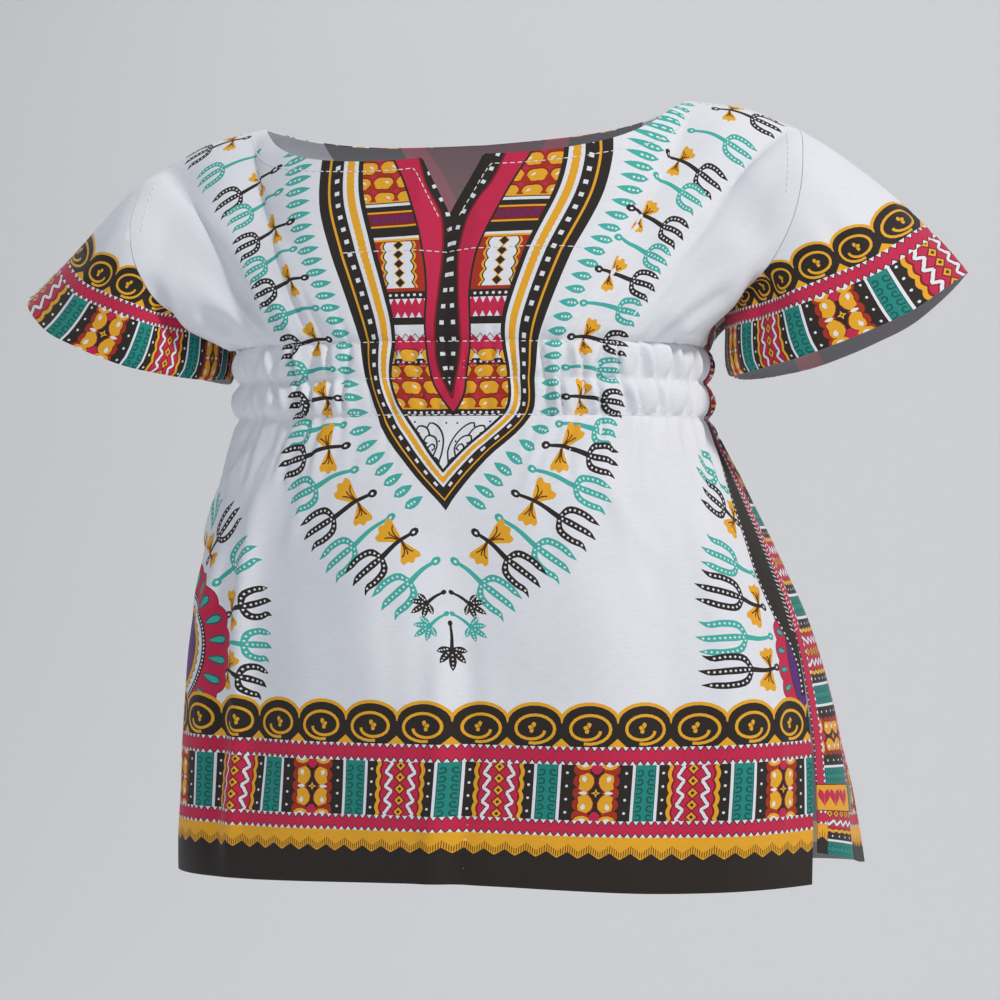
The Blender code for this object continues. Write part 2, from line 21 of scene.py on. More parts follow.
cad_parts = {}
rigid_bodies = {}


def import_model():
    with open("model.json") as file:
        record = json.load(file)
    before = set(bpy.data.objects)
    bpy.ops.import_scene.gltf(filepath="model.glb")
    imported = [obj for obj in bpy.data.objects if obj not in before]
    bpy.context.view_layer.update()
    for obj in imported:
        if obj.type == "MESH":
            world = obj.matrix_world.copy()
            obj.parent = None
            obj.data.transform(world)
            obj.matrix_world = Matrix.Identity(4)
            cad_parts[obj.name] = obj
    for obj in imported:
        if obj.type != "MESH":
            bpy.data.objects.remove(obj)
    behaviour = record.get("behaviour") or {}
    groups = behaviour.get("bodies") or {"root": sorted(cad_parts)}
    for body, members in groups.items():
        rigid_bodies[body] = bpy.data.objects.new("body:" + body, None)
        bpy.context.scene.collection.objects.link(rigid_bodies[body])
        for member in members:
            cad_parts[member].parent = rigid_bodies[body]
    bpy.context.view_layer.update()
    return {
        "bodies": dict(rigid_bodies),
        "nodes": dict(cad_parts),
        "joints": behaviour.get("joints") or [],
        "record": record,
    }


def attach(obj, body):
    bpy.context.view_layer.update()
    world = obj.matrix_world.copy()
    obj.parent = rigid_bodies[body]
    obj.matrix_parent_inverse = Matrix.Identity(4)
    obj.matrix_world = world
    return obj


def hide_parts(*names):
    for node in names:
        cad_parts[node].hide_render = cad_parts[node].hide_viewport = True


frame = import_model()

print("nodes in the frame:", sorted(frame["nodes"]))

# %% [markdown]
# ## Sizes of the cut
#
# All sizes are in millimetres until a mesh is made. A panel is named by u, from -1 at the side seam on
# the -X side to +1 at the other one. Flat places on the cut cloth are s across, 0 at the centre, and t
# up from the hem. The tables below say where the cloth goes; a table is easier to correct against
# a photograph than a sculpted mesh, because each number is one thing that can be measured.

# %% Sizes of the cut
MM = 0.001
SHELL = 0.6
HALF_FRONT, HALF_BACK = 176.0, 192.0
HEM, VENT_TOP, CASING_LOW, CASING_MID, CASING_TOP = -340.0, -225.0, -137.0, -121.5, -106.0
FLAT_LOW, FLAT_MID, FLAT_TOP = 205.0, 222.0, 240.0
HALF_COLUMNS, ARMHOLE_COLUMNS, SHOULDER_END = 32, 16, 20


def table(columns, rows):
    """A table as one array for each named column."""
    values = np.array(rows, float)
    return {name: values[:, i] for i, name in enumerate(columns.split())}


def smooth_step(value):
    value = np.clip(value, 0.0, 1.0)
    return value * value * (3.0 - 2.0 * value)


def unit(vectors):
    return vectors / np.maximum(np.linalg.norm(vectors, axis=-1, keepdims=True), 1e-9)


def spline(keys, values, at):
    """A smooth curve through values at keys, with slopes from the neighbours on each side."""
    order = np.argsort(keys)
    keys = np.asarray(keys, float)[order]
    values = np.asarray(values, float)[order]
    at = np.clip(np.asarray(at, float), keys[0], keys[-1])
    step = np.diff(keys)
    rise = np.diff(values) / step
    slope = np.empty_like(values)
    slope[0], slope[-1] = rise[0], rise[-1]
    slope[1:-1] = (rise[:-1] * step[1:] + rise[1:] * step[:-1]) / (step[:-1] + step[1:])
    i = np.clip(np.searchsorted(keys, at, side="right") - 1, 0, len(step) - 1)
    w = (at - keys[i]) / step[i]
    return (
        values[i] * (1 + 2 * w) * (1 - w) ** 2
        + values[i + 1] * w * w * (3 - 2 * w)
        + slope[i] * step[i] * w * (1 - w) ** 2
        + slope[i + 1] * step[i] * w * w * (w - 1)
    )


# Level sections of the skirt and the waist, from the hem up. turn is in degrees.
SECTIONS = table(
    "z centre_x half_width front_y back_y widest_y turn front_share left_gap right_gap",
    [
        (-340, 19, 155, -93, 80, 18, 31, 0.478, 38, 4.0),
        (-305, 18, 152, -92, 80, 17, 28, 0.478, 27, 3.0),
        (-265, 15, 147, -91, 79, 14, 23, 0.482, 13, 2.0),
        (-225, 11, 139, -88, 77, 10, 18, 0.490, 3, 1.0),
        (-195, 7, 129, -84, 74, 7, 14, 0.498, 0.3, 0.3),
        (-165, 3, 117, -79, 70, 3, 8, 0.505, 0.3, 0.3),
        (-137, 0, 105, -73, 65, 0, 0, 0.511, 0.3, 0.3),
        (-121.5, 0, 103.5, -72, 64, 0, 0, 0.511, 0.3, 0.3),
        (-106, 0, 104, -72, 64, 0, 0, 0.511, 0.3, 0.3),
    ],
)

# Upper edges of half a panel, from the side seam (column 0) to the centre (column 32). s and t are flat
# places, x y z places on the body, along_x to along_z the way that the cloth runs and reach its pull.
EDGE_COLUMNS = "column s t x y z along_x along_y along_z reach"
EDGES = {
    "front": [
        [
            (0.0, 176.0, 247, 110, -0.15, -94, 0.80, 0.00, 0.50, 0.45),
            (3.6, 173.5, 256, 115, -19, -93.5, 0.85, -0.20, 0.45, 0.45),
            (7.0, 169.0, 272, 126, -35, -87, 0.85, -0.25, 0.45, 0.45),
            (10.0, 163.5, 292, 138, -43, -75, 0.88, -0.10, 0.40, 0.45),
            (12.0, 158.5, 314, 146, -42, -58, 0.88, 0.10, 0.35, 0.45),
            (14.0, 154.0, 338, 149, -31, -37, 0.82, 0.35, 0.20, 0.45),
            (15.1, 151.0, 356, 148, -15, -22, 0.70, 0.60, -0.05, 0.45),
            (16.0, 149.0, 370, 146, -0.15, -16, 0.54, 0.80, -0.25, 0.45),
        ],
        [
            (16.0, 149.0, 370, 146, -0.15, -16, 0.54, 0.80, -0.25, 0.45),
            (18.0, 125.0, 374, 122, -0.15, -5, 0.00, 1.00, 0.00, 0.55),
            (20.0, 98.0, 376, 96, -0.15, 0, -0.50, 0.86, 0.05, 0.50),
        ],
        [
            (20.0, 98.0, 376, 96, -0.15, 0, -0.50, 0.86, 0.05, 0.50),
            (21.3, 91.0, 362, 91.5, -13, -4.5, -0.60, 0.65, 0.45, 0.5),
            (22.8, 83.0, 349, 84, -26, -12, -0.50, 0.50, 0.70, 0.5),
            (24.5, 71.0, 337, 71, -38, -19, -0.30, 0.38, 0.85, 0.6),
            (26.4, 52.0, 330, 52, -44.5, -23, -0.10, 0.32, 0.95, 0.6),
            (28.5, 30.0, 328, 30, -47, -24.5, 0.0, 0.30, 0.95, 0.6),
            (30.0, 13.6, 328, 13.6, -48, -24.5, 0.0, 0.30, 0.95, 0.6),
        ],
        [
            (30.0, 13.6, 328, 13.6, -48, -24.5, 0.0, 0.30, 0.95, 0.6),
            (32.0, 0.0, 301, 0.0, -55, -50, 0.0, 0.30, 0.95, 0.6),
        ],
    ],
    "back": [
        [
            (0.0, 192.0, 247, 110, 0.15, -94, 0.80, 0.00, 0.50, 0.45),
            (3.6, 188.5, 256, 115, 18, -93.5, 0.85, 0.20, 0.45, 0.45),
            (7.0, 183.0, 272, 126, 33, -87, 0.85, 0.25, 0.45, 0.45),
            (10.0, 176.0, 292, 138, 41, -75, 0.88, 0.10, 0.40, 0.45),
            (12.0, 168.0, 314, 146, 41, -58, 0.88, -0.10, 0.35, 0.45),
            (14.0, 160.0, 338, 149, 30, -37, 0.82, -0.35, 0.20, 0.45),
            (15.1, 153.0, 356, 148, 15, -22, 0.70, -0.60, -0.05, 0.45),
            (16.0, 149.0, 370, 146, 0.15, -16, 0.54, -0.80, -0.25, 0.45),
        ],
        [
            (16.0, 149.0, 370, 146, 0.15, -16, 0.54, -0.80, -0.25, 0.45),
            (18.0, 125.0, 374, 122, 0.15, -5, 0.00, -1.00, 0.00, 0.55),
            (20.0, 98.0, 376, 96, 0.15, 0, -0.50, -0.86, 0.05, 0.50),
        ],
        [
            (20.0, 98.0, 376, 96, 0.15, 0, -0.50, -0.86, 0.05, 0.50),
            (21.3, 90.0, 370, 88, 11.5, -2, -0.45, -0.75, 0.30, 0.5),
            (23.4, 75.0, 360, 73, 21, -5, -0.25, -0.75, 0.55, 0.6),
            (26.3, 50.0, 351, 50, 28, -7.5, -0.10, -0.70, 0.70, 0.6),
            (29.2, 25.0, 347, 25, 31, -8.5, 0.0, -0.66, 0.75, 0.6),
            (32.0, 0.0, 346, 0, 32, -9, 0.0, -0.66, 0.75, 0.6),
        ],
    ],
}
# How far the hem is lifted at the columns u by the way that the skirt hangs, and the slope of the shoulders.
HEM_LIFT = {
    "front": table("u lift", [(-1.0, 0.0), (-0.4, 5.0), (0.1, 8.0), (0.6, 5.0), (1.0, 5.0)]),
    "back": table("u lift", [(-1.0, 0.0), (0.3, 0.0), (0.7, 7.0), (1.0, 18.0)]),
}
SHOULDER_TILT = 0.04
for side, stretches in EDGES.items():
    EDGES[side] = [table(EDGE_COLUMNS, rows) for rows in stretches]
print("upper edges:", {side: len(stretches) for side, stretches in EDGES.items()}, "stretches")

# %% [markdown]
# ## The cloth on the body
#
# Below the waist the cloth hangs in a rounded, level section that widens to the hem. Above it, each
# column of cloth is one smooth curve from the casing to its place on the neck, the shoulder or the
# armhole. A simulation would have to find the elastics' pull by itself; curves put the waist, the wings
# and the notch where the real shirt has them.

# %% Level sections
SECTION_POINTS, SECTION_POWER = 2880, 2.4
PLAIN_CENTRE, CENTRE_HOLD, HOLD_ENDS = 40.0, 0.85, -205.0


def section_value(column, z):
    return float(spline(SECTIONS["z"], SECTIONS[column], z))


def section(z):
    """The closed level section at z and its running length, from the right side seam round by the front."""
    angle = -math.radians(section_value("turn", z)) - np.linspace(0.0, 2.0 * math.pi, SECTION_POINTS + 1)
    across, along = np.cos(angle), np.sin(angle)
    power = 2.0 / SECTION_POWER
    widest = section_value("widest_y", z)
    depth = np.where(along < 0.0, widest - section_value("front_y", z), section_value("back_y", z) - widest)
    sideways = np.sign(across) * np.abs(across) ** power
    x = section_value("centre_x", z) + section_value("half_width", z) * sideways
    y = widest + depth * np.sign(along) * np.abs(along) ** power
    points = np.column_stack([x, y])
    steps = np.hypot(*np.diff(points, axis=0).T)
    return points, np.concatenate([[0.0], np.cumsum(steps)])


def hem_lift(side, u, z):
    share = max(VENT_TOP - z, 0.0) / (VENT_TOP - HEM)
    return spline(HEM_LIFT[side]["u"], HEM_LIFT[side]["lift"], u) * share**2


def section_point(side, u, z):
    """Places at the columns u of one panel, all at height z."""
    points, length = section(z)
    right = section_value("right_gap", z) / 2.0
    cloth = length[-1] - 2.0 * right - section_value("left_gap", z)
    share = section_value("front_share", z)
    half_flat = HALF_FRONT if side == "front" else HALF_BACK
    half_arc = cloth * (share if side == "front" else 1.0 - share) / 2.0
    hold = CENTRE_HOLD * smooth_step((z - HOLD_ENDS) / (CASING_LOW - HOLD_ENDS))
    even = half_arc / half_flat
    centre = even + (1.0 - even) * hold
    sides = (half_arc - PLAIN_CENTRE * centre) / (half_flat - PLAIN_CENTRE)
    flat = np.abs(u) * half_flat
    arc = np.minimum(flat, PLAIN_CENTRE) * centre + np.maximum(flat - PLAIN_CENTRE, 0.0) * sides
    arc = np.sign(u) * arc
    place = right + half_arc - arc if side == "front" else length[-1] - right - half_arc + arc
    x = np.interp(place, length, points[:, 0])
    y = np.interp(place, length, points[:, 1])
    return np.column_stack([x, y, z + hem_lift(side, u, z)])


# %% Curves up to the neck, the shoulders and the armholes
BLOUSE_ALONG, BLOUSE_UP, BLOUSE_OUT = 0.5, 0.2, 0.40


def top_edge(side, u, column):
    """A column of the edge tables at each u, along the whole upper edge of the panel."""
    place = (1.0 - np.abs(u)) * HALF_COLUMNS
    result = np.zeros_like(place)
    for keys in EDGES[side]:
        inside = (place >= keys["column"][0]) & (place <= keys["column"][-1])
        result = np.where(inside, spline(keys["column"], keys[column], place), result)
    if column == "z":
        return result + SHOULDER_TILT * top_edge(side, u, "x")
    return result * (np.sign(u) if column in ("s", "x", "along_x") else 1.0)


def rib_points(side, u, shares):
    """Places in the bodice, a row for each share, 0 at the casing and 1 at the upper edge."""
    near = 0.02
    low = section_point(side, u, CASING_TOP)
    run = section_point(side, np.clip(u + near, -1, 1), CASING_TOP)
    run -= section_point(side, np.clip(u - near, -1, 1), CASING_TOP)
    outward = unit(np.column_stack([run[:, 1], -run[:, 0], np.zeros(len(run))]))
    outward *= 1.0 if side == "front" else -1.0
    high = np.column_stack([top_edge(side, u, c) for c in ("x", "y", "z")])
    along = unit(np.column_stack([top_edge(side, u, c) for c in ("along_x", "along_y", "along_z")]))
    chord = np.linalg.norm(high - low, axis=1, keepdims=True)
    upright = np.clip((high - low)[:, 2:] / chord, 0.0, 1.0)
    leave = (high - low) * BLOUSE_ALONG
    leave += (outward * BLOUSE_OUT + np.array([0.0, 0.0, BLOUSE_UP])) * chord * upright
    arrive = along * chord * top_edge(side, u, "reach")[:, None]
    v = np.asarray(shares)[:, None, None]
    return (
        low * (1 + 2 * v) * (1 - v) ** 2
        + high * v * v * (3 - 2 * v)
        + leave * v * (1 - v) ** 2
        + arrive * v * v * (v - 1)
    )


# %% [markdown]
# ## A net for each panel
#
# The curves are sampled once into a fine net, and everything later reads the net. The rows of the bodice
# are then spaced evenly along the cloth, so that a motif keeps its size on its way up the chest.

# %% Nets
HALF_NET, SKIRT_STEPS, BODICE_STEPS = 128, 110, 90


def evenly_spaced(rows):
    """The same curves, with rows at equal steps along each of them."""
    steps = np.linalg.norm(np.diff(rows, axis=0), axis=2)
    length = np.concatenate([np.zeros((1, rows.shape[1])), np.cumsum(steps, axis=0)])
    share = length / length[-1]
    wanted = np.linspace(0.0, 1.0, len(rows))
    result = np.empty_like(rows)
    for c in range(rows.shape[1]):
        for axis in range(3):
            result[:, c, axis] = np.interp(wanted, share[:, c], rows[:, c, axis])
    return result


def net_normals(net, facing):
    return unit(np.cross(np.gradient(net, axis=1), np.gradient(net, axis=0))) * facing


def panel_net(side):
    u = np.linspace(-1.0, 1.0, 2 * HALF_NET + 1)
    skirt = [section_point(side, u, z) for z in np.linspace(HEM, CASING_TOP, SKIRT_STEPS + 1)]
    bodice = evenly_spaced(rib_points(side, u, np.linspace(0.0, 1.0, 4 * BODICE_STEPS + 1)))[::4]
    net = np.concatenate([np.array(skirt)[:-1], bodice])
    normals = net_normals(net, 1.0 if side == "front" else -1.0)
    place = (1.0 - np.abs(u)) * HALF_COLUMNS
    shoulder = (place > ARMHOLE_COLUMNS - 0.1) & (place < SHOULDER_END + 0.1)
    normals[-1, shoulder, 1] = 0.0
    return net, unit(normals)


NETS = {side: panel_net(side) for side in ("front", "back")}


def read_net(values, row, column):
    """Values of a net between its points, along smooth curves in both directions."""
    def weights(w):
        return (
            w * (-0.5 + w * (1.0 - 0.5 * w)),
            1.0 + w * w * (-2.5 + 1.5 * w),
            w * (0.5 + w * (2.0 - 1.5 * w)),
            w * w * (-0.5 + 0.5 * w),
        )

    rows, columns = values.shape[:2]
    r0 = np.clip(np.floor(row).astype(int), 0, rows - 2)
    c0 = np.clip(np.floor(column).astype(int), 0, columns - 2)
    row_weights, column_weights = weights(row - r0), weights(column - c0)
    total = 0.0
    for i in range(4):
        for j in range(4):
            r = np.clip(r0 + i - 1, 0, rows - 1)
            c = np.clip(c0 + j - 1, 0, columns - 1)
            total = total + values[r, c] * (row_weights[i] * column_weights[j])[:, None]
    return total


for side, (net, normals) in NETS.items():
    print(side, "net", net.shape[:2], "width %.0f mm" % np.ptp(net[..., 0]))

# %% [markdown]
# ## Folds, puffs and creases
#
# A fold is a soft ridge or trough along a line, told by where it starts and ends. The puffs between the
# stitched casings are rounded pillows with narrow valleys, which the root of a squared sine gives. They
# are all heights on top of the net, so they can be added, faded and tried one at a time.

# %% Folds
FOLD_COLUMNS = "u_top top u_end end width height"
SKIRT_FOLDS = {
    "front": [
        (-0.52, -150, -0.66, -345, 0.13, 4.5),
        (-0.36, -150, -0.44, -300, 0.10, -2.5),
        (-0.12, -165, 0.06, -345, 0.12, 3.5),
        (0.10, -160, 0.22, -320, 0.11, -2.5),
        (0.40, -150, 0.46, -300, 0.12, 2.5),
        (0.74, -150, 0.80, -345, 0.10, 4.0),
        (0.60, -170, 0.64, -330, 0.09, -2.5),
    ],
    "back": [
        (-0.70, -150, -0.78, -345, 0.11, 4.0),
        (-0.40, -150, -0.50, -320, 0.12, -2.8),
        (-0.15, -155, -0.18, -345, 0.12, 3.8),
        (0.15, -155, 0.12, -330, 0.11, -2.8),
        (0.38, -150, 0.45, -345, 0.12, 4.2),
        (0.66, -150, 0.74, -345, 0.10, -3.0),
    ],
}
BODICE_FOLDS = {
    "front": [
        (-0.76, 0.9, -0.70, 0.05, 0.11, 4.5),
        (0.74, 0.85, 0.66, 0.05, 0.11, 3.5),
        (0.56, 0.8, 0.38, 0.15, 0.08, -1.4),
        (-0.36, 0.5, -0.30, 0.0, 0.07, 1.6),
        (0.26, 0.5, 0.24, 0.0, 0.07, 1.6),
    ],
    "back": [
        (-0.70, 0.9, -0.55, 0.05, 0.09, 2.0),
        (-0.30, 0.6, -0.26, 0.0, 0.08, 2.0),
        (0.02, 0.55, 0.04, 0.0, 0.07, 1.8),
        (0.34, 0.6, 0.30, 0.0, 0.08, 2.2),
        (0.70, 0.9, 0.55, 0.05, 0.09, 2.0),
    ],
}
# Finer creases that only the looks have.
SKIRT_CREASES = {
    "front": [
        (-0.50, -142, -0.84, -196, 0.040, 2.2),
        (-0.62, -142, -0.94, -180, 0.032, -1.6),
        (-0.38, -144, -0.62, -230, 0.034, 1.5),
        (-0.60, -160, -0.70, -225, 0.030, 1.1),
        (-0.47, -150, -0.50, -240, 0.026, -1.1),
        (-0.28, -146, -0.34, -196, 0.024, 1.1),
        (-0.455, -165, -0.465, -335, 0.026, 3.2),
        (-0.520, -165, -0.530, -335, 0.030, -2.6),
        (0.075, -222, 0.080, -350, 0.030, 3.2),
        (0.135, -222, 0.145, -350, 0.030, -2.4),
        (-0.05, -190, -0.02, -320, 0.030, -0.9),
        (0.33, -146, 0.36, -206, 0.026, -0.9),
        (0.40, -142, 0.62, -200, 0.030, 1.3),
        (0.50, -150, 0.57, -225, 0.028, 1.0),
        (0.68, -150, 0.70, -270, 0.024, -0.9),
        (0.86, -165, 0.90, -330, 0.022, 1.0),
    ],
    "back": [
        (-0.58, -148, -0.64, -230, 0.028, 1.0),
        (-0.28, -150, -0.30, -250, 0.026, -0.9),
        (0.04, -150, 0.05, -220, 0.026, 0.9),
        (0.28, -150, 0.31, -235, 0.028, -0.8),
        (0.55, -150, 0.60, -260, 0.026, 1.0),
    ],
}
BODICE_CREASES = {
    "front": [
        (-0.60, 0.98, -0.52, 0.12, 0.040, -2.6),
        (-0.50, 0.80, -0.46, 0.05, 0.030, 2.2),
        (-0.66, 0.50, -0.60, 0.02, 0.026, -2.2),
        (-0.46, 0.55, -0.42, 0.05, 0.022, 0.7),
        (0.62, 0.95, 0.50, 0.10, 0.034, -2.7),
        (0.54, 0.85, 0.44, 0.30, 0.026, 2.2),
        (0.68, 0.60, 0.62, 0.02, 0.024, -2.2),
        (0.60, 0.70, 0.46, 0.12, 0.024, 1.8),
        (0.44, 0.50, 0.40, 0.05, 0.020, -0.7),
    ],
    "back": [
        (-0.74, 0.95, -0.62, 0.25, 0.028, 1.2),
        (-0.50, 0.70, -0.44, 0.10, 0.024, -0.9),
        (0.20, 0.60, 0.18, 0.05, 0.022, 0.8),
        (0.74, 0.95, 0.60, 0.25, 0.028, 1.2),
    ],
}


def fold_height(rows, u, level):
    """Sum of the folds in a table at the columns u and the levels."""
    total = np.zeros_like(u)
    folds = table(FOLD_COLUMNS, rows)
    for i in range(len(rows)):
        down = (folds["top"][i] - level) / (folds["top"][i] - folds["end"][i])
        centre = folds["u_top"][i] + (folds["u_end"][i] - folds["u_top"][i]) * np.clip(down, 0.0, 1.0)
        fade = smooth_step(down * 3.0 + 0.2) * smooth_step((1.0 - down) * 4.0 + 0.3)
        total += folds["height"][i] * fade * np.exp(-(((u - centre) / folds["width"][i]) ** 2))
    return total * smooth_step((1.0 - np.abs(u)) / 0.12)


# %% Puffs between the stitched rows
PUFF_CREST, STITCHED_CREST, VALLEY_ROUND = 6.2, 0.5, 0.004
GATHER_FADE_UP, GATHER_FADE_DOWN = 0.40, 52.0
GATHERS_ABOVE, GATHERS_BELOW = 2.4, 2.6


def gather_height(u, z, share):
    """Puffs that the elastics draw up, with gathers that fade above and below them."""
    place = u * HALF_COLUMNS + HALF_COLUMNS
    drift = 0.30 * np.sin(place * 1.7 + z * 0.16) + 0.22 * np.sin(place * 0.61 - z * 0.09)
    pillow = np.sqrt(np.sin(np.pi * (place + drift) / 2.0) ** 2 + VALLEY_ROUND)
    even = 0.76 + 0.24 * np.sin(place * 2.3) * np.cos(place * 0.9)
    ends = smooth_step((1.0 - np.abs(u)) / 0.05)
    calm = 0.42 + 0.58 * smooth_step((np.abs(u) - 0.20) / 0.12)
    middle = np.where(z > CASING_MID, CASING_TOP, CASING_MID)
    bottom = np.where(z > CASING_MID, CASING_MID, CASING_LOW)
    bulge = np.sin(np.pi * np.clip((z - bottom) / (middle - bottom), 0.0, 1.0)) ** 0.55
    between = STITCHED_CREST + (PUFF_CREST - STITCHED_CREST) * bulge
    off_the_row = smooth_step(share / 0.04)
    above = GATHERS_ABOVE * smooth_step(1.0 - share / GATHER_FADE_UP) * off_the_row
    above += STITCHED_CREST * (1.0 - off_the_row)
    off_the_row = smooth_step((CASING_LOW - z) / 5.0)
    below = GATHERS_BELOW * smooth_step(1.0 - (CASING_LOW - z) / GATHER_FADE_DOWN) * off_the_row
    below += STITCHED_CREST * (1.0 - off_the_row)
    height = np.where(share > 0.0, above, np.where(z < CASING_LOW, below, between))
    return height * pillow * even * ends * calm


# %% Soft unevenness of handled cotton
WAVES = table(
    "height along_s along_t start",
    [
        (0.30, 0.045, 0.021, 0.4),
        (0.22, -0.061, 0.052, 1.9),
        (0.16, 0.102, -0.047, 3.1),
        (0.10, 0.055, 0.148, 0.8),
        (0.07, 0.190, 0.083, 2.2),
    ],
)


def soft_waves(s, t):
    total = np.zeros_like(s)
    for i in range(len(WAVES["height"])):
        along = WAVES["along_s"][i] * s + WAVES["along_t"][i] * t
        total += WAVES["height"][i] * np.sin(along + WAVES["start"][i])
    return total


def panel_height(side, u, z, share, s, t):
    skirt = fold_height(SKIRT_FOLDS[side], u, z) + fold_height(SKIRT_CREASES[side], u, z)
    skirt *= smooth_step((CASING_LOW - z) / 40.0)
    bodice = fold_height(BODICE_FOLDS[side], u, share) + fold_height(BODICE_CREASES[side], u, share)
    bodice *= smooth_step(share / 0.2) * smooth_step((1.0 - share) / 0.25)
    waves = soft_waves(s, t) * smooth_step((1.0 - np.abs(u)) / 0.1) * smooth_step((1.0 - share) / 0.2)
    return skirt + bodice + waves + gather_height(u, z, share)


# %% [markdown]
# ## From flat cloth to worn cloth
#
# The print is drawn flat, so each flat place has to find its place on the net. In the skirt that is
# a straight sum. In the bodice the columns lean, so the column is found by halving: guess, compare, halve.

# %% The map of a panel
HALF_WIDTH = {"front": HALF_FRONT, "back": HALF_BACK}
EDGE_U = np.linspace(0.0, 1.0, 1601)
TOP_FLAT = {side: (top_edge(side, EDGE_U, "s"), top_edge(side, EDGE_U, "t")) for side in EDGES}


def column_of(side, s, t):
    """u and the share of the way up the bodice, at flat places."""
    top_s, top_t = TOP_FLAT[side]
    aside = np.abs(s)
    low, high = np.zeros_like(aside), np.ones_like(aside)
    for _ in range(24):
        u = (low + high) / 2.0
        share = np.clip((t - FLAT_TOP) / (np.interp(u, EDGE_U, top_t) - FLAT_TOP), 0.0, 1.0)
        reach = HALF_WIDTH[side] * u * (1.0 - share) + np.interp(u, EDGE_U, top_s) * share
        low, high = np.where(reach < aside, u, low), np.where(reach < aside, high, u)
    return np.sign(s) * u, share


def lay_panel(side, s, t):
    """Places and outward normals on the worn panel for flat places."""
    u, share = column_of(side, s, t)
    z = np.interp(t, (0.0, FLAT_LOW, FLAT_MID, FLAT_TOP), (HEM, CASING_LOW, CASING_MID, CASING_TOP))
    row = (z - HEM) / (CASING_TOP - HEM) * SKIRT_STEPS + share * BODICE_STEPS
    column = (u + 1.0) * HALF_NET
    net, normals = NETS[side]
    out = unit(read_net(normals, row, column))
    height = panel_height(side, u, z, share, s, t)
    return read_net(net, row, column) + out * height[:, None], out


def panel_outline(side):
    """The flat outline of a panel, anticlockwise from the left end of the hem."""
    top_s, top_t = (values[::8] for values in TOP_FLAT[side])
    right = np.column_stack([top_s, top_t])[::-1]
    left = np.column_stack([-top_s, top_t])[1:]
    half = HALF_WIDTH[side]
    return np.concatenate([[(-half, 0.0), (half, 0.0)], right, left])


def outline_area(points):
    s, t = np.asarray(points, float).T
    return abs(np.dot(s, np.roll(t, -1)) - np.dot(t, np.roll(s, -1))) / 2.0


for side in EDGES:
    print(side, "flat area %.4f m2" % (outline_area(panel_outline(side)) * MM * MM))

# %% The sleeves
SLEEVE_HEM = table(
    "column x y z set_x set_y set_z",
    [
        (0.0, 115, 0, -118, 0.80, 0.00, -0.60),
        (3.6, 120, -23, -119, 0.80, -0.20, -0.60),
        (7.0, 133, -41, -117, 0.80, -0.25, -0.60),
        (10.0, 152, -49, -112, 0.85, -0.10, -0.50),
        (12.0, 172, -46, -104, 0.90, -0.05, -0.40),
        (14.0, 191, -36, -94, 0.90, 0.00, -0.40),
        (15.1, 203, -20, -84, 0.90, 0.00, -0.42),
        (16.0, 209, 0, -78, 0.90, 0.00, -0.44),
    ],
)
SEAM_GAP, SLEEVE_LAND = 0.3, 0.8
# What differs between the sleeves, by the side in x: how far the hem stands out and up at the top of the
# arm, how strongly the cloth sets off from the armhole, and the way that it falls at the hem.
SLEEVE_OUT = {-1: 0.0, 1: 10.0}
SLEEVE_UP = {-1: -1.0, 1: 4.0}
SLEEVE_SET_OFF = {-1: 0.5, 1: 0.85}
SLEEVE_FALL = {-1: (0.78, 0.0, -0.62), 1: (0.60, 0.0, -0.80)}
SLEEVE_STEPS, SLEEVE_BLEND = 48, 0.28
HALF_RING = HALF_NET * ARMHOLE_COLUMNS // HALF_COLUMNS
SLEEVE_FOLDS = table(
    "place width height",
    [(0.30, 0.055, 2.0), (0.70, 0.055, 1.8), (0.40, 0.018, -0.8), (0.56, 0.022, 0.9), (0.16, 0.024, 0.8)],
)


def armhole_ring(layer, sign):
    """The end of each column round one armhole, from the underarm by the front and back by the back."""
    halves = []
    for side in ("front", "back"):
        edge = NETS[side][layer][-1]
        halves.append((edge[::-1] if sign > 0 else edge)[: HALF_RING + 1])
    front, back = halves
    ring = np.concatenate([front, back[-2:0:-1]])
    ring[0] = (front[0] + back[0]) / 2.0
    ring[HALF_RING] = (front[-1] + back[-1]) / 2.0
    return ring


def round_the_arm(names, sign):
    """Three columns of the sleeve table, round the whole sleeve."""
    columns = np.linspace(0.0, ARMHOLE_COLUMNS, HALF_RING + 1)
    values = []
    for name, turned in zip(names, (1.0, -1.0, 1.0)):
        half = spline(SLEEVE_HEM["column"], SLEEVE_HEM[name], columns)
        values.append(np.concatenate([half, half[-2:0:-1] * turned]))
    return np.column_stack(values) * (sign, 1.0, 1.0)


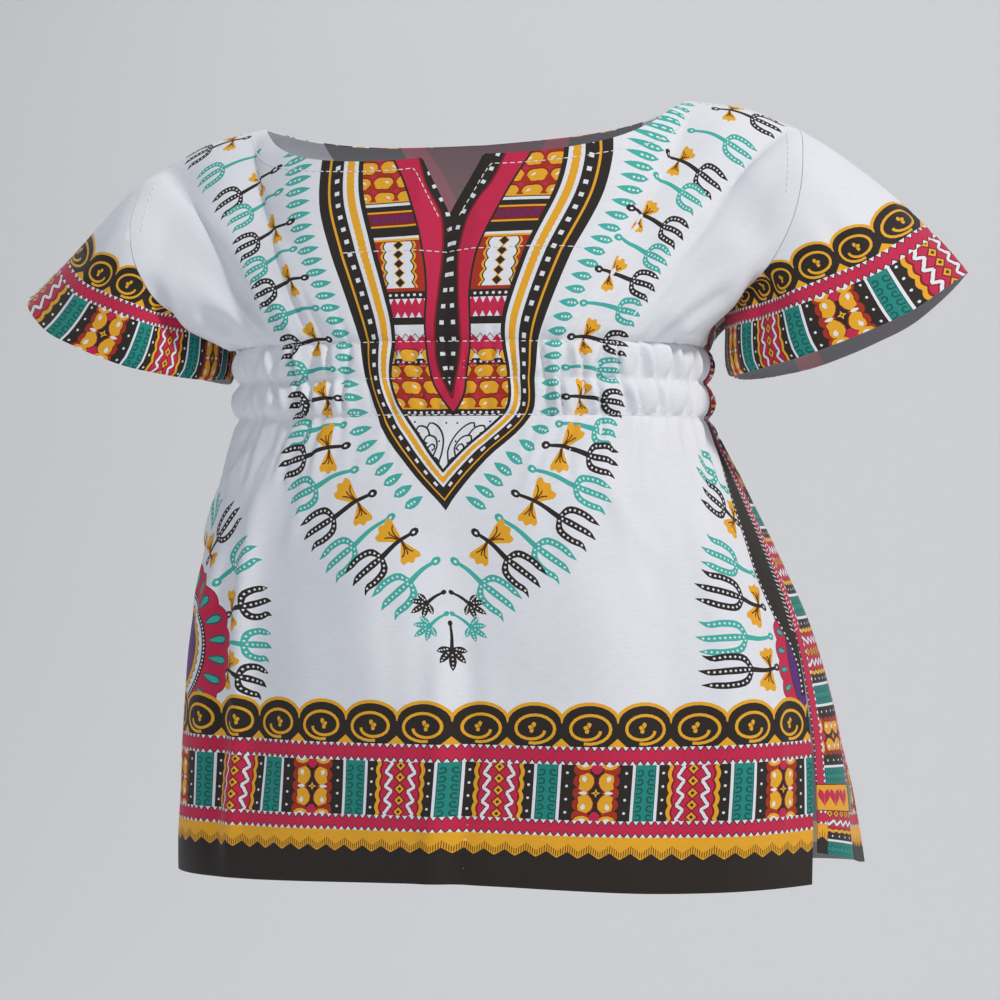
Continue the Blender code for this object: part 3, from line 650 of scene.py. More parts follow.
def sleeve_net(sign):
    ring = armhole_ring(0, sign)
    outward = unit(armhole_ring(1, sign))
    hem = round_the_arm(("x", "y", "z"), sign)
    up_the_arm = np.linspace(0.0, 1.0, HALF_RING + 1) ** 2
    up_the_arm = np.concatenate([up_the_arm, up_the_arm[-2:0:-1]])
    hem += up_the_arm[:, None] * (SLEEVE_OUT[sign] * sign, 0.0, SLEEVE_UP[sign])
    setting = round_the_arm(("set_x", "set_y", "set_z"), sign)
    setting = unit(setting - outward * np.sum(setting * outward, axis=1, keepdims=True))
    start = ring + setting * SEAM_GAP
    length = np.linalg.norm(hem - start, axis=1, keepdims=True)
    leave = setting * length * SLEEVE_SET_OFF[sign]
    land = unit(np.array(SLEEVE_FALL[sign]) * (sign, 1.0, 1.0)) * length * SLEEVE_LAND
    v = np.linspace(0.0, 1.0, SLEEVE_STEPS + 1)[:, None, None]
    net = (
        start * (1 + 2 * v) * (1 - v) ** 2
        + hem * v * v * (3 - 2 * v)
        + leave * v * (1 - v) ** 2
        + land * v * v * (v - 1)
    )
    net = evenly_spaced(net)
    net = np.concatenate([net, net[:, :1]], axis=1)
    normals = np.cross(np.gradient(net, axis=1), np.gradient(net, axis=0))
    normals[:, 0] = normals[:, -1] = normals[:, 0] + normals[:, -1]
    normals = unit(normals) * -sign
    blend = smooth_step(v / SLEEVE_BLEND)
    seam = np.concatenate([outward, outward[:1]])
    return net, unit(seam * (1.0 - blend) + normals * blend)


SLEEVES = {"sleeve_left": sleeve_net(-1), "sleeve_right": sleeve_net(1)}
SLEEVE_REACH = {}
SLEEVE_ROUND = {}
for name, (net, normals) in SLEEVES.items():
    SLEEVE_REACH[name] = np.linalg.norm(np.diff(net, axis=0), axis=2).sum(axis=0)
    SLEEVE_ROUND[name] = np.linalg.norm(np.diff(net[-1], axis=0), axis=1).sum()
    sizes = (SLEEVE_ROUND[name], SLEEVE_REACH[name].max())
    print(name, "hem %.0f mm round, %.0f mm over the shoulder" % sizes)


def lay_sleeve(name, s, t):
    """Places and outward normals on a sleeve. s is along its hem from the top of the arm, t up from it."""
    net, normals = SLEEVES[name]
    place = np.clip(s / SLEEVE_ROUND[name] + 0.5, 0.0, 1.0)
    column = place * (net.shape[1] - 1)
    reach = np.interp(column, np.arange(net.shape[1]), SLEEVE_REACH[name])
    row = (1.0 - np.clip(t / reach, 0.0, 1.0)) * SLEEVE_STEPS
    height = np.zeros_like(s)
    for i in range(len(SLEEVE_FOLDS["place"])):
        near = (place - SLEEVE_FOLDS["place"][i]) / SLEEVE_FOLDS["width"][i]
        height += SLEEVE_FOLDS["height"][i] * np.exp(-near * near)
    height = (height + soft_waves(s, t)) * np.sin(np.pi * row / SLEEVE_STEPS)
    out = unit(read_net(normals, row, column))
    return read_net(net, row, column) + out * height[:, None], out


def sleeve_outline(name):
    place = np.linspace(-0.5, 0.5, len(SLEEVE_REACH[name]))[::-1]
    top = np.column_stack([place * SLEEVE_ROUND[name], SLEEVE_REACH[name][::-1]])
    half = SLEEVE_ROUND[name] / 2.0
    return np.concatenate([[(-half, 0.0), (half, 0.0)], top])

# %% [markdown]
# ## The print as flat shapes
#
# The cloth is a white cotton with a border and neck print. A texture could carry it, but shapes cut into
# the mesh stay sharp at any distance and each motif can be drawn from a few sizes. All shapes of a piece
# are painted one over another, and one constrained triangulation then cuts them all into the cloth.

# %% Dyes
DYES = {
    "white": (0.84, 0.85, 0.90),
    "black": (0.024, 0.017, 0.014),
    "yellow": (0.87, 0.42, 0.022),
    "crimson": (0.60, 0.018, 0.075),
    "maroon": (0.24, 0.010, 0.014),
    "brick": (0.42, 0.030, 0.010),
    "teal": (0.060, 0.46, 0.40),
    "deep_teal": (0.006, 0.105, 0.095),
    "green": (0.012, 0.26, 0.22),
    "purple": (0.105, 0.026, 0.19),
    "brown": (0.13, 0.040, 0.006),
}
# The longest steps between an outline's points, on smooth cloth and where the elastics gather it.
SMOOTH_STEP, GATHERED_STEP, GATHERED = 5.0, 2.1, (199.0, 248.0)


def finely(outline):
    """The closed outline with points added on its long edges, so that they can follow the folds."""
    outline = np.asarray(outline, float)
    after = np.roll(outline, -1, axis=0)
    pieces = []
    for start, end in zip(outline, after):
        gathered = GATHERED[0] < (start[1] + end[1]) / 2.0 < GATHERED[1]
        step = GATHERED_STEP if gathered else SMOOTH_STEP
        count = max(1, int(math.ceil(np.linalg.norm(end - start) / step)))
        share = np.arange(count)[:, None] / count
        pieces.append(start + (end - start) * share)
    return np.concatenate(pieces)


def inside(points, outline, at_once=4000):
    """Which of the points lie in the closed outline: those with an odd number of edges on their right."""
    start_s, start_t = outline.T
    end_s, end_t = np.roll(outline, -1, axis=0).T
    slope = (end_s - start_s) / np.where(end_t == start_t, 1.0, end_t - start_t)
    found = np.zeros(len(points), bool)
    for first in range(0, len(points), at_once):
        s, t = points[first : first + at_once, :1], points[first : first + at_once, 1:]
        crosses = (start_t > t) != (end_t > t)
        found[first : first + at_once] = np.sum(crosses & (s < start_s + (t - start_t) * slope), axis=1) % 2
    return found


class PrintedCloth:
    """Flat shapes on one piece of cloth. A shape may be kept within another, such as a block in its frame.

    slide, a table of t and s, moves the print sideways: cloth is seldom cut and sewn quite on the line.
    fine is False where the outline already has all its points, as the edge of the reverse has.
    """

    def __init__(self, outline, slide=None, fine=True):
        self.shapes = [("white", finely(outline) if fine else np.asarray(outline, float), None)]
        self.slide, self.fine = slide, fine

    def paint(self, colour, outline, within=None, slides=True):
        outline = finely(outline)
        if self.slide is not None and slides:
            outline[:, 0] += np.interp(outline[:, 1], self.slide["t"], self.slide["s"])
        frame = self.shapes[within if within is not None else 0][1]
        if np.ptp(outline, axis=0).max() < SMALL and not inside(outline, frame).any():
            return None
        s, t = outline.T
        if np.dot(s, np.roll(t, -1)) - np.dot(t, np.roll(s, -1)) < 0.0:
            outline = outline[::-1]
        self.shapes.append((colour, outline, within))
        return len(self.shapes) - 1

    def paint_pair(self, colour, outline, within=(None, None)):
        """The shape and its mirror image in the centre line."""
        outline = np.asarray(outline, float)
        first = self.paint(colour, outline, within[0])
        return first, self.paint(colour, outline * (-1.0, 1.0), within[1])

    def cut(self, loose_points):
        """Triangles of the whole piece: flat points, corners and a colour for each."""
        points, faces = [], []
        for _, outline, _ in self.shapes:
            faces.append(list(range(len(points), len(points) + len(outline))))
            points.extend(Vector(p) for p in outline)
        points.extend(Vector(p) for p in loose_points)
        made = delaunay_2d_cdt(points, [], faces, 1, MERGE, True)
        flat, corners = np.array([tuple(p) for p in made[0]]), np.array(made[2])
        middle = flat[corners].mean(axis=1)
        top = self.top_by_owner(middle, made[5]) if self.fine else self.top_by_test(middle)
        kept = top >= 0
        dyes = np.array([DYES[colour] for colour, _, _ in self.shapes])
        return flat, corners[kept], dyes[top[kept]]

    def top_by_owner(self, middle, owners):
        """The uppermost shape over each triangle, from the lists that the cut gives.

        A list can be wrong far from its shape, so a shape counts only within its own box.
        """
        low = [tuple(outline.min(axis=0)) for _, outline, _ in self.shapes]
        high = [tuple(outline.max(axis=0)) for _, outline, _ in self.shapes]
        top = np.full(len(middle), -1)
        for j, (owner, (s, t)) in enumerate(zip(owners, middle.tolist())):
            if 0 in owner:
                over = {i for i in owner if low[i][0] < s < high[i][0] and low[i][1] < t < high[i][1]}
                shown = (i for i in over if self.shapes[i][2] is None or self.shapes[i][2] in over)
                top[j] = max(shown, default=0)
        return top

    def top_by_test(self, middle):
        """The same, found by testing every triangle's middle. Slower, and sure for a rough outline."""
        top = np.where(inside(middle, self.shapes[0][1]), 0, -1)
        for i, (_, outline, _) in enumerate(self.shapes[1:], 1):
            near = (middle > outline.min(axis=0)).all(axis=1) & (middle < outline.max(axis=0)).all(axis=1)
            near = np.flatnonzero(near & (top >= 0))
            top[near[inside(middle[near], outline)]] = i
        return top


# Points closer than MERGE become one. A shape smaller than SMALL is left out where its frame, or the
# whole cloth, holds none of it.
MERGE, SMALL = 0.004, 24.0


# %% Simple shapes
def oval(centre, long, wide, lean=0.0, sides=12):
    angle = np.linspace(0.0, 2.0 * math.pi, sides, endpoint=False)
    return turned(np.column_stack([long * np.cos(angle), wide * np.sin(angle)]), lean) + centre


def turned(points, lean):
    c, s = math.cos(lean), math.sin(lean)
    return np.asarray(points, float) @ np.array([[c, s], [-s, c]])


def ribbon(path, widths):
    """A strip along an open path. widths is its full width, at each point or everywhere."""
    path = np.asarray(path, float)
    run = unit(np.gradient(path, axis=0))
    across = np.column_stack([-run[:, 1], run[:, 0]]) * (np.broadcast_to(widths, len(path)) / 2.0)[:, None]
    return np.concatenate([path + across, (path - across)[::-1]])


def leaf(start, end, width, fat_end=0.4, sides=5):
    """A pointed leaf or drop from start to end, widest at the share fat_end of the way."""
    share = np.linspace(0.0, 1.0, sides + 1)
    power = math.log(0.5) / math.log(fat_end)
    half = np.sin(math.pi * share**power) ** 0.8
    start, end = np.asarray(start, float), np.asarray(end, float)
    path = start + (end - start) * share[:, None]
    outline = ribbon(path, width * half)
    return np.delete(outline, [sides, 2 * sides + 1], axis=0)


def box(low_s, low_t, high_s, high_t):
    return [(low_s, low_t), (high_s, low_t), (high_s, high_t), (low_s, high_t)]


def curve(points, count=12):
    """A smooth open curve through a few points."""
    points = np.asarray(points, float)
    key = np.concatenate([[0.0], np.cumsum(np.linalg.norm(np.diff(points, axis=0), axis=1))])
    at = np.linspace(0.0, key[-1], count)
    return np.column_stack([spline(key, points[:, 0], at), spline(key, points[:, 1], at)])


class Path:
    """A line to place things along: at(distance, out) is a flat place, with out to its left.

    narrow, two heights and a share, makes everything on the path's right closer to it low down.
    """

    def __init__(self, points, narrow=(0.0, 1.0, 1.0)):
        self.narrow = narrow
        self.points = np.asarray(points, float)
        self.key = np.concatenate([[0.0], np.cumsum(np.linalg.norm(np.diff(self.points, axis=0), axis=1))])
        self.length = self.key[-1]
        run = unit(np.gradient(self.points, axis=0))
        self.left = np.column_stack([-run[:, 1], run[:, 0]])

    def at(self, distance, out=0.0):
        distance = np.atleast_1d(np.asarray(distance, float))
        place = np.column_stack([np.interp(distance, self.key, self.points[:, i]) for i in (0, 1)])
        left = np.column_stack([np.interp(distance, self.key, self.left[:, i]) for i in (0, 1)])
        low, high, share = self.narrow
        closer = share + (1.0 - share) * smooth_step((place[:, 1] - low) / (high - low))
        out = np.broadcast_to(out, len(place))
        return place + unit(left) * (out * np.where(out < 0.0, closer, 1.0))[:, None]

    def strip(self, low, high, start=0.0, end=None, count=None):
        """The outline between two offsets of the path."""
        end = self.length if end is None else end
        count = count or max(3, int((end - start) / 4.0) + 2)
        at = np.linspace(start, end, count)
        return np.concatenate([self.at(at, low), self.at(at, high)[::-1]])


# %% [markdown]
# ## The border print
#
# The border runs along the hem of both panels, up the back's vent edges and round the sleeves. Its
# motifs are common ones of such prints: spirals, saw teeth, bean and zigzag blocks and scale stripes.
# One function draws it on any piece from its left end to its right end.

# %% One period of the border
PERIOD, STRIPE, BEAN_BLOCK, ZIGZAG_BLOCK = 79.0, 11.0, 29.0, 28.0
TOOTH = 3.1


def upright(centre, half, low, high):
    """A box across a band, centred on a place."""
    return box(centre - half, low, centre + half, high)


def scale_stripe(cloth, middle, low, high):
    """A green stripe of dark scales between two white lines."""
    cloth.paint("black", upright(middle, STRIPE / 2.0 + 0.3, low, high))
    cloth.paint("white", upright(middle, STRIPE / 2.0, low, high))
    cloth.paint("deep_teal", upright(middle, 4.3, low, high))
    cloth.paint("green", upright(middle, 3.9, low, high))
    step = 3.9
    for i in range(int((high - low) / step)):
        t = low + (i + 0.5) * step
        for side in (-1.0, 1.0):
            bow = [(3.7, -1.5), (1.4, -1.1), (1.2, 0.4), (2.3, 1.1), (3.2, 0.3)]
            bow = [(middle + side * out, t + up) for out, up in bow]
            cloth.paint("deep_teal", ribbon(curve(bow, 8), 0.8))


def bean_block(cloth, centre, low, high):
    """Four yellow beans round a star, on crimson with a scalloped edge, on black with white dots."""
    middle = (low + high) / 2.0
    block = cloth.paint("black", upright(centre, BEAN_BLOCK / 2.0, low, high))
    for side in (-1.0, 1.0):
        for i in range(4):
            t = middle + (i - 1.5) * 5.9
            cloth.paint("white", oval((centre + side * 11.8, t), 0.65, 0.65, sides=5))
    cloth.paint("brick", box(centre - 7.6, low, centre + 7.6, high))
    for side in (-1.0, 1.0):
        for i in range(5):
            t = middle + (i - 2) * 5.2
            cloth.paint("brick", oval((centre + side * 7.4, t), 1.9, 2.6, sides=9), block)
    cloth.paint("black", box(centre - 2.6, low, centre + 2.6, high))
    for t in (low, high):
        cloth.paint("crimson", oval((centre, t), 2.6, 4.2, sides=10), block)
    for side in (-1.0, 1.0):
        for up in (-1.0, 1.0):
            bean = [(centre + side * 5.6, middle + up * 1.1), (centre + side * 3.9, middle + up * 4.4)]
            bean += [(centre + side * 5.0, middle + up * 8.4)]
            fat = np.array([3.4, 4.6, 5.3, 6.0, 6.2, 5.4, 3.6]) * 0.98
            cloth.paint("maroon", ribbon(curve(bean, 7), fat + 1.0), block)
            cloth.paint("yellow", ribbon(curve(bean, 7), fat), block)
            shine = [(centre + side * 4.5, middle + up * 4.8), (centre + side * 5.2, middle + up * 7.6)]
            cloth.paint("white", leaf(shine[0], shine[1], 1.9, 0.6))
        cloth.paint("white", leaf((centre + side * 3.2, middle), (centre + side * 7.0, middle), 1.5, 0.5))
        for t in (low, high):
            cloth.paint("yellow", oval((centre + side * 5.0, t), 3.3, 2.2, sides=9), block)
            cloth.paint("white", oval((centre + side * 5.0, t), 1.5, 1.0, sides=8), block)
    star = [turned([(r, 0.0)], math.pi * i / 4.0)[0] for i, r in enumerate([2.0, 0.8] * 4)]
    cloth.paint("yellow", np.array(star) + (centre, middle))
    cloth.paint("black", oval((centre, middle), 0.4, 0.4, sides=5))


def zigzag_block(cloth, centre, low, high):
    """Red cloth with a row of yellow diamonds between white and yellow wavy lines, on black with dots."""
    middle = (low + high) / 2.0
    block = cloth.paint("black", upright(centre, ZIGZAG_BLOCK / 2.0, low, high))
    t = np.linspace(low - 0.5, high + 0.5, 33)
    for side in (-1.0, 1.0):
        for i in range(4):
            cloth.paint("white", oval((centre + side * 12.3, middle + (i - 1.5) * 5.9), 0.65, 0.65, sides=5))
    bumps = 0.9 * np.abs(np.sin(math.pi * (t - middle) / 5.6))
    for colour, reach in (("yellow", 9.6), ("maroon", 8.0), ("crimson", 7.2)):
        right = np.column_stack([centre + reach + bumps, t])
        left = np.column_stack([centre - reach - bumps, t])[::-1]
        cloth.paint(colour, np.concatenate([right, left]), block)
    turn = 2.0 * math.pi * (t - middle) / 6.4
    sway = 1.1 * np.sin(turn) + 0.35 * np.sin(2.0 * turn)
    for side in (-1.0, 1.0):
        line = np.column_stack([centre + side * (4.9 + sway), t])
        cloth.paint("maroon", ribbon(line, 2.3), block)
        cloth.paint("white", ribbon(line, 1.35), block)
    for i in range(5):
        at = middle + (i - 2) * 5.3
        diamond = np.array([(2.1, 0.0), (0.0, 2.3), (-2.1, 0.0), (0.0, -2.3)])
        for colour, size in (("maroon", 1.35), ("yellow", 0.95), ("black", 0.40)):
            cloth.paint(colour, diamond * size + (centre, at), block)


def toothed_band(cloth, left, right, low, high):
    """A crimson band with a row of white teeth, outlined in black, along each edge."""
    cloth.paint("black", box(left, low, right, high))
    cloth.paint("crimson", box(left, low + 0.25, right, high - 0.25))
    count = int((right - left) / TOOTH) + 1
    for colour, wide, tall in (("black", TOOTH, 2.3), ("white", 2.2, 1.65)):
        for base, way in ((low, 1.0), (high, -1.0)):
            for i in range(count):
                s = left + (i + 0.5) * TOOTH
                cloth.paint(colour, [(s - wide / 2.0, base), (s + wide / 2.0, base), (s, base + way * tall)])


def spiral_line(cloth, left, right, low, high, centre=0.0):
    """Spirals on black under a scalloped line, with small yellow triangles at their feet.

    The spirals on either side of the centre turn towards each other. The black reaches from left to right;
    the row of spirals is counted over the same reach and then moved along as a whole by centre.
    """
    grow = (high - low) / 19.0
    step = 22.0 * grow
    places = [k for k in range(int(left // step) - 1, int(right // step) + 2)]
    crest = low + 10.0 * grow
    for colour, inside in (("yellow", 0.0), ("black", 1.5)):
        for k in places:
            middle = centre + (k + 0.5) * step
            long, wide = (12.3 - inside) * grow, (9.0 - inside) * grow
            cloth.paint(colour, oval((middle, crest), long, wide, sides=22))
    cloth.paint("black", box(left, low, right, crest))
    turn = np.linspace(-0.42 * math.pi, -2.92 * math.pi, 27)
    shrink = np.interp(np.linspace(0.0, 1.0, 27), (0.0, 0.70, 1.0), (1.0, 0.86, 0.50))
    for k in places:
        way = 1.0 if centre + (k + 0.5) * step < centre else -1.0
        heart = np.array([centre + (k + 0.5) * step, low + 7.6 * grow])
        path = np.column_stack([way * 8.6 * shrink * np.cos(turn), 6.4 * shrink * np.sin(turn)]) * grow
        cloth.paint("yellow", ribbon(path + heart, 1.25 * grow))
        for lean, long in ((1.45, 2.9), (0.35, 2.7), (-0.75, 2.4)):
            tip = turned([(long * grow, 0.0)], lean)[0] * (way, 1.0)
            cloth.paint("yellow", leaf(heart + tip * 0.12, heart + tip, 1.8 * grow, 0.62))
        foot = centre + k * step
        cloth.paint("yellow", [(foot - 3.7 * grow, low), (foot + 3.7 * grow, low), (foot, low + 3.6 * grow)])


# Heights of the border's bands over the edge of the front's hem. The back's lie a little lower.
HEM_DARK, HEM_YELLOW, HEM_RED, HEM_BLOCKS, HEM_TOP, HEM_SPIRALS = 15.2, 25.0, 32.2, 57.0, 64.8, 84.0
BACK_DROP = 7.7


def hem_border(cloth, left, right, drop=0.0):
    """The whole border of a hem, from the dark band at the edge to the spirals."""
    cloth.paint("black", box(left, -2.0, right, HEM_TOP - drop))
    yellow_teeth(cloth, left, right, HEM_DARK - drop, HEM_YELLOW - drop, 5 if drop else 9)
    toothed_band(cloth, left, right, HEM_YELLOW - drop, HEM_RED - drop)
    blocks(cloth, left, right, HEM_RED - drop, HEM_BLOCKS - drop)
    toothed_band(cloth, left, right, HEM_BLOCKS - drop, HEM_TOP - drop)
    spiral_line(cloth, left, right, HEM_TOP - drop, HEM_SPIRALS - drop)


def yellow_teeth(cloth, left, right, low, high, lines=9):
    """A yellow band that ends in points on the dark hem, under a row of fine brown lines."""
    cloth.paint("yellow", box(left, low, right, high))
    step = 8.4
    for i in range(int((right - left) / step) + 2):
        s = left + (i - 0.5) * step
        cloth.paint("black", [(s - step / 2.0, low - 0.2), (s, low + 2.7), (s + step / 2.0, low - 0.2)])
        for j in range(lines):
            aside = (j + 0.5) / lines - 0.5
            at = s + aside * step
            rise = 3.1 * (1.0 - abs(aside) * 2.0)
            cloth.paint("brown", box(at - 0.19, low + 0.4 + rise * 0.7, at + 0.19, low + 3.0 + rise))


def blocks(cloth, left, right, low, high, centre=0.0):
    """Stripes and blocks in turn, mirrored in a stripe at the centre."""
    half = PERIOD / 2.0
    numbers = range(int((left - centre) // half) - 1, int((right - centre) // half) + 2)
    for k in numbers:
        maker = (zigzag_block, bean_block)[(k if k >= 0 else -k - 1) % 2]
        maker(cloth, centre + (k + 0.5) * half, low, high)
    for k in numbers:
        scale_stripe(cloth, centre + k * half, low, high)


class EdgeBand:
    """A stand-in cloth whose bands run up a side edge: along is height t, and up is inwards."""

    def __init__(self, cloth, edge, eaten=None):
        self.cloth, self.edge, self.eaten = cloth, edge, eaten

    def paint(self, colour, outline, within=None):
        outline = finely(outline)
        inwards = outline[:, 1]
        if self.eaten is not None:
            inwards = inwards - np.interp(outline[:, 0], self.eaten["t"], self.eaten["loss"])
        s = self.edge - math.copysign(1.0, self.edge) * inwards
        return self.cloth.paint(colour, np.column_stack([s, outline[:, 0]]), within, slides=False)

# %% [markdown]
# ## The neck panel
#
# The V panel is framed by bands that follow its edge, so they are strips between two offsets of one
# path. Inside it each half holds a column of blocks. The right half is drawn, and each shape is painted
# again as its mirror image.

# %% The V panel
V_POINTS = [(84, 376), (74, 356), (64, 334), (57, 305), (49.5, 281), (43.5, 258), (40, 242), (37.5, 222)]
V_EDGE = Path(curve(V_POINTS + [(34, 205), (17, 184), (0, 165)], 70), narrow=(215.0, 250.0, 0.64))
# The frame's bands, each between two offsets inwards from the edge.
V_BANDS = (
    ("yellow", -3.6, -4.5),
    ("brown", -4.5, -4.75),
    ("black", -4.75, -9.6),
    ("white", -9.6, -15.9),
)
V_INNER = -17.0
CRIMSON_POINTS = [(52, 376), (40, 350), (32, 332), (25, 320), (17, 300), (11, 280), (9, 262), (9.5, 246)]
CRIMSON_EDGE = Path(curve(CRIMSON_POINTS + [(8, 228), (4.5, 213), (0, 206)], 40))
MIDDLE_POINTS = [(44, 376), (30, 352), (20, 332), (14, 315), (6, 300), (3.4, 285), (4.0, 262), (5.2, 245)]
MIDDLE_EDGE = Path(curve(MIDDLE_POINTS + [(4.2, 228), (0, 213)], 40))


def half_outline(path, out):
    """From a path's offset to the centre line."""
    edge = path.at(np.linspace(0.0, path.length, 50), out)
    edge = edge[edge[:, 0] > 0.0]
    return np.concatenate([edge, [(0.0, edge[-1, 1] - edge[-1, 0] * 1.3), (0.0, edge[0, 1])]])


def block_rows(cloth, within):
    """What fills each half of the panel, from the shoulder band down to the curled tip."""
    pair = lambda colour, outline: cloth.paint_pair(colour, outline, within)
    bubbles(pair, 306.5, 376.0, 12, 66)
    for colour, low, high in (
        ("black", 302.0, 306.5),
        ("white", 304.6, 306.0),
        ("yellow", 294.0, 302.0),
        ("maroon", 294.9, 301.1),
        ("black", 288.5, 294.0),
        ("white", 288.0, 289.2),
    ):
        pair(colour, box(0, low, 60, high))
    for i in range(10):
        s = 8.0 + i * 4.0
        bow = [(s, 296.0), (s + 1.4, 299.6), (s + 3.0, 298.2), (s + 1.8, 296.9)]
        pair("purple", ribbon(curve(bow, 7), 0.9))
    pair("yellow", box(0, 262.0, 60, 288.0))
    pair("brick", box(0, 262.0, 60, 287.0))
    lean = 0.10
    for colour, wide in (("yellow", 6.2), ("black", 5.3), ("white", 4.7)):
        t = np.linspace(264.0, 286.5, 41)
        bumps = wide + 1.3 * np.abs(np.cos(math.pi * (t - 264.0) / 5.1))
        middle = 21.5 + (t - 275.0) * lean
        right = np.column_stack([middle + bumps, t])
        left = np.column_stack([middle - bumps, t])[::-1]
        pair(colour, np.concatenate([right, left]))
    for i in range(5):
        t = 266.5 + i * 4.6
        centre = (21.5 + (t - 275.0) * lean, t)
        for colour, size in (("yellow", 1.25), ("black", 1.0)):
            pair(colour, np.array([(1.9, 0.0), (0.0, 2.1), (-1.9, 0.0), (0.0, -2.1)]) * size + centre)
    bead_row(pair, 259.0, 262.4)
    pair("crimson", box(0, 247.0, 60, 259.0))
    for i in range(14):
        s = 8.0 + i * 3.1
        pair("white", [(s, 259.0), (s + 2.4, 259.0), (s + 1.2, 256.4)])
        pair("white", [(s, 250.6), (s + 2.4, 250.6), (s + 1.2, 253.0)])
    pair("black", box(0, 247.4, 60, 250.6))
    pair("white", box(0, 229.0, 60, 247.4))
    for base, tall in ((243.5, -2.6), (239.0, 2.8)):
        zigzag = [(6.0 + 2.1 * i, base + (tall if i % 2 else 0.0)) for i in range(20)]
        pair("black", ribbon(zigzag, 0.5))
    crest = [(6.0 + 2.6 * i, 243.2 - (3.4 if i % 2 else 0.0)) for i in range(17)]
    foot = [(6.0 + 2.6 * i, 236.4 - (3.2 if i % 2 else 0.0)) for i in range(17)]
    pair("crimson", crest + foot[::-1])
    pair("black", ribbon([(s, t - 0.8) for s, t in foot], 0.5))
    bead_row(pair, 228.4, 231.6)
    bubbles(pair, 207.5, 228.4, 6, 40)
    bead_row(pair, 204.5, 207.5)
    pair("white", box(0, 150.0, 60, 204.5))
    for points in (
        [(1.2, 181.0), (3.0, 186.0), (6.4, 187.5), (8.2, 190.6), (6.4, 192.6), (4.7, 190.8), (6.0, 189.6)],
        [(5.0, 187.0), (4.0, 191.6), (6.4, 195.6), (9.6, 196.0), (10.4, 193.4), (8.6, 192.7)],
        [(8.2, 195.8), (11.0, 199.6), (14.6, 200.0), (15.0, 197.6), (13.2, 197.0)],
        [(2.2, 184.0), (1.2, 190.0), (3.2, 197.0), (7.0, 200.8), (9.6, 201.6), (10.4, 199.6)],
        [(1.4, 176.0), (3.6, 178.6), (5.6, 177.6), (4.6, 175.8)],
    ):
        pair("black", ribbon(curve(points, 14), 0.75))
    for s, t in ((3.6, 193.6), (12.6, 194.4), (6.6, 183.6), (2.4, 201.4), (16.6, 202.0), (2.6, 180.0)):
        pair("black", oval((s, t), 0.5, 0.5, sides=5))


def bubbles(pair, low, high, left, right):
    """Yellow beans in pairs on brick red, with maroon outlines."""
    pair("yellow", box(left - 10, low, right + 10, high))
    pair("brick", box(left - 10, low + 0.7, right + 10, high - 0.7))
    step, rise = 9.6, 7.8
    for i in range(int((right - left) / step) + 1):
        for j in range(int((high - low) / rise) + 2):
            at = np.array((left + i * step + 1.6 * (j % 2), low + 1.8 + j * rise))
            bean = curve([at + (-3.4, -1.0), at + (0.0, 0.9), at + (3.4, -0.4)], 9)
            fat = np.array([3.2, 4.9, 5.8, 5.6, 4.8, 5.5, 6.0, 5.2, 3.4])
            pair("maroon", ribbon(bean, fat + 1.2))
            pair("yellow", ribbon(bean, fat))
            pair("white", leaf(at + (-2.6, 0.2), at + (-0.6, 1.6), 0.9, 0.5))
            pair("crimson", oval(at + (step / 2.0, rise / 2.0), 1.3, 1.0, sides=8))


def bead_row(pair, low, high):
    pair("black", box(0, low, 60, high))
    for i in range(17):
        pair("white", oval((4.0 + i * 2.6, (low + high) / 2.0), 0.72, 0.72, sides=5))


def neck_panel(cloth):
    """The whole V: bands from the edge inwards, blocks, and the crimson band beside the notch."""
    whole = cloth.paint_pair("black", half_outline(V_EDGE, 0.0))
    for colour, low, high in V_BANDS:
        cloth.paint_pair(colour, V_EDGE.strip(low, high), whole)
    at = np.linspace(0.0, V_EDGE.length, 160)
    ruffle = 1.3 + 0.45 * np.abs((at / 1.5) % 2.0 - 1.0)
    band = np.concatenate([V_EDGE.at(at, -12.7 + ruffle), V_EDGE.at(at, -12.7 - ruffle)[::-1]])
    cloth.paint_pair("yellow", band, whole)
    count = int(V_EDGE.length / 6.6)
    for i in range(count):
        start = 2.2 + i * V_EDGE.length / count
        square = V_EDGE.strip(-6.3, -8.1, start, start + 2.1, 2)
        cloth.paint_pair("white", square, whole)
    inner = cloth.paint_pair("black", half_outline(V_EDGE, V_INNER), whole)
    field = cloth.paint_pair("white", half_outline(V_EDGE, V_INNER - 0.9), inner)
    block_rows(cloth, field)
    cloth.paint_pair("black", half_outline(CRIMSON_EDGE, 0.9))
    cloth.paint_pair("crimson", half_outline(CRIMSON_EDGE, 0.0))
    strip = cloth.paint_pair("maroon", half_outline(MIDDLE_EDGE, 0.8))
    black = cloth.paint_pair("black", half_outline(MIDDLE_EDGE, 0.0), strip)
    for i in range(int(MIDDLE_EDGE.length / 7.4) + 1):
        start = 3.0 + i * 7.4
        if start + 2.2 < MIDDLE_EDGE.length:
            cloth.paint_pair("white", MIDDLE_EDGE.strip(-1.6, -3.4, start, start + 1.9, 2), black)


# %% [markdown]
# ## Sprigs, flowers and drops round the panel
#
# A row of teal drops follows the V at one spacing. Outside it sprigs with three-tined forks radiate,
# black and teal in turn, with pairs of yellow flowers across their stems. The table gives where each
# sprig's stem starts, where it forks and how far its tines reach.

# %% Sprigs
TINE_OUT = 6.3


